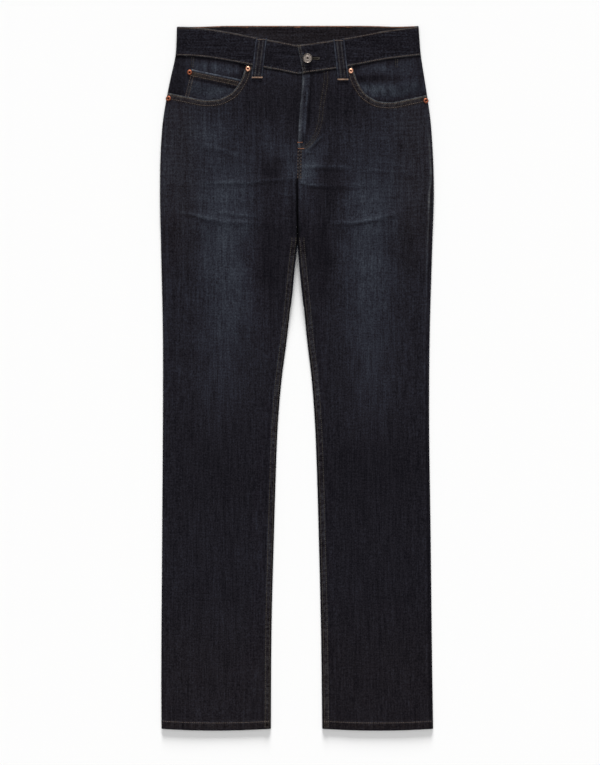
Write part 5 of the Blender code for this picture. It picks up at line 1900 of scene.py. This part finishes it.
for side in SIGN:
    height, pocket = level(back_face, side), level(pocket_face, side)
    start = float(outer_edge(side, 95.0)) - SIGN[side] * 4
    end = float(inner_edge(side, 110.0)) + SIGN[side] * 1.5
    for k in YOKE_ROWS:
        sew_under(cross(lambda x: yoke_line(x) + k, start, end), height)
    sew_under(hem_row(side, 6, 7), height)
    for row in rows[f"pocket_{side}"] + rows[f"pocket_hem_{side}"]:
        sew_under(row, pocket)
    for (x, down), inwards in zip(BACK_POCKET[:2], (4.5, -4.5)):
        spot = SIGN[side] * (x + inwards), down + 4.2
        under_tan.append(tack(*spot, math.pi / 2, raised(pocket), 7.0, 2.0, 9, up=-1, arch=0.0, rise=0.0))
for k in SEAT_ROWS:
    seat = line(lambda d: inner_edge("left", d) + k, float(yoke_line(0.0)) + 2, 300)
    sew_under(seat, level(back_face, "left"))
for middle in BACK_LOOPS.values():
    for x in (middle + LOOP_ROWS - LOOP_HALF, middle + LOOP_HALF - LOOP_ROWS):
        row = Row([(x, BACK_LOOP_SPAN[0] + 4), (x, BACK_LOOP_SPAN[1] - 4)])
        sew_under(row, lambda x, down: 0.5 + 0 * x)
for depth in BAND_ROWS:
    sew_under(cross(lambda x: back_edge(x) + depth, -184.0, 184.0), level(back_band_face))
thread_piece("stitches_underside", under, thread_olive)
thread_piece("tacks_underside_tan", under_tan, thread_tan)

# %% [markdown]
# ## Table, light and camera
#
# The jeans lie on a plain white table in a studio. Three soft lights share the work. A faint white sky
# fills every shade, a broad lamp overhead lights the cloth evenly and hardly darkens the table beside
# it, and a low, wide key from beyond the waist gives the hems and the crotch their long soft shadows
# and grazes the weave. The camera hangs four metres up, nearly over the middle, and its frame is worked
# out from the size of the table it should show.

# %% Table and lights
SHARES = {"sky": 0.16, "top": 0.42, "key": 0.42}  # of the light that falls on the table
LAMPS = {"top": (90.0, 62.0), "key": (18.5, 21.0)}  # height over the table's edge and width, in degrees

TABLE_HALF = 4000
white = Recipe("table_white", base_color=(0.895, 0.895, 0.893, 1), roughness=1.0, specular_ior_level=0.0)
corners = TABLE_HALF * np.array([(-1, -1, 0), (1, -1, 0), (1, 1, 0), (-1, 1, 0)])
add_mesh("table", corners, [(0, 1, 2, 3)], white.material)

world = bpy.data.worlds.new("sky")
bpy.context.scene.world = world
world.use_nodes = True
sky = world.node_tree.nodes["Background"]
sky.inputs["Color"].default_value = (1.0, 1.0, 1.0, 1.0)
sky.inputs["Strength"].default_value = LIGHTING * SHARES["sky"]

for name, (height, width) in LAMPS.items():
    lamp = bpy.data.objects.new(name, bpy.data.lights.new(name, "SUN"))
    lamp.data.energy = LIGHTING * SHARES[name] * math.pi / math.sin(math.radians(height))
    lamp.data.angle = math.radians(width)
    lamp.rotation_euler = (-math.radians(90 - height), 0, 0)
    bpy.context.scene.collection.objects.link(lamp)
print("lights:", SHARES)

# %% Camera
CAMERA_AT = (4.7, -6.9)  # x and y
CAMERA_UP = 4000.0
FRAME_TALL = 1194.3  # length of the table that the picture's height shows

camera = bpy.data.objects.new("camera", bpy.data.cameras.new("camera"))
camera.data.sensor_width = 36.0
camera.data.lens = camera.data.sensor_width * CAMERA_UP / FRAME_TALL
camera.data.clip_end = 50.0
camera.location = (CAMERA_AT[0] * MM, CAMERA_AT[1] * MM, CAMERA_UP * MM)
bpy.context.scene.collection.objects.link(camera)
bpy.context.scene.camera = camera
bpy.context.scene.view_settings.view_transform = "Standard"
print("camera: lens", round(camera.data.lens, 1), "mm")
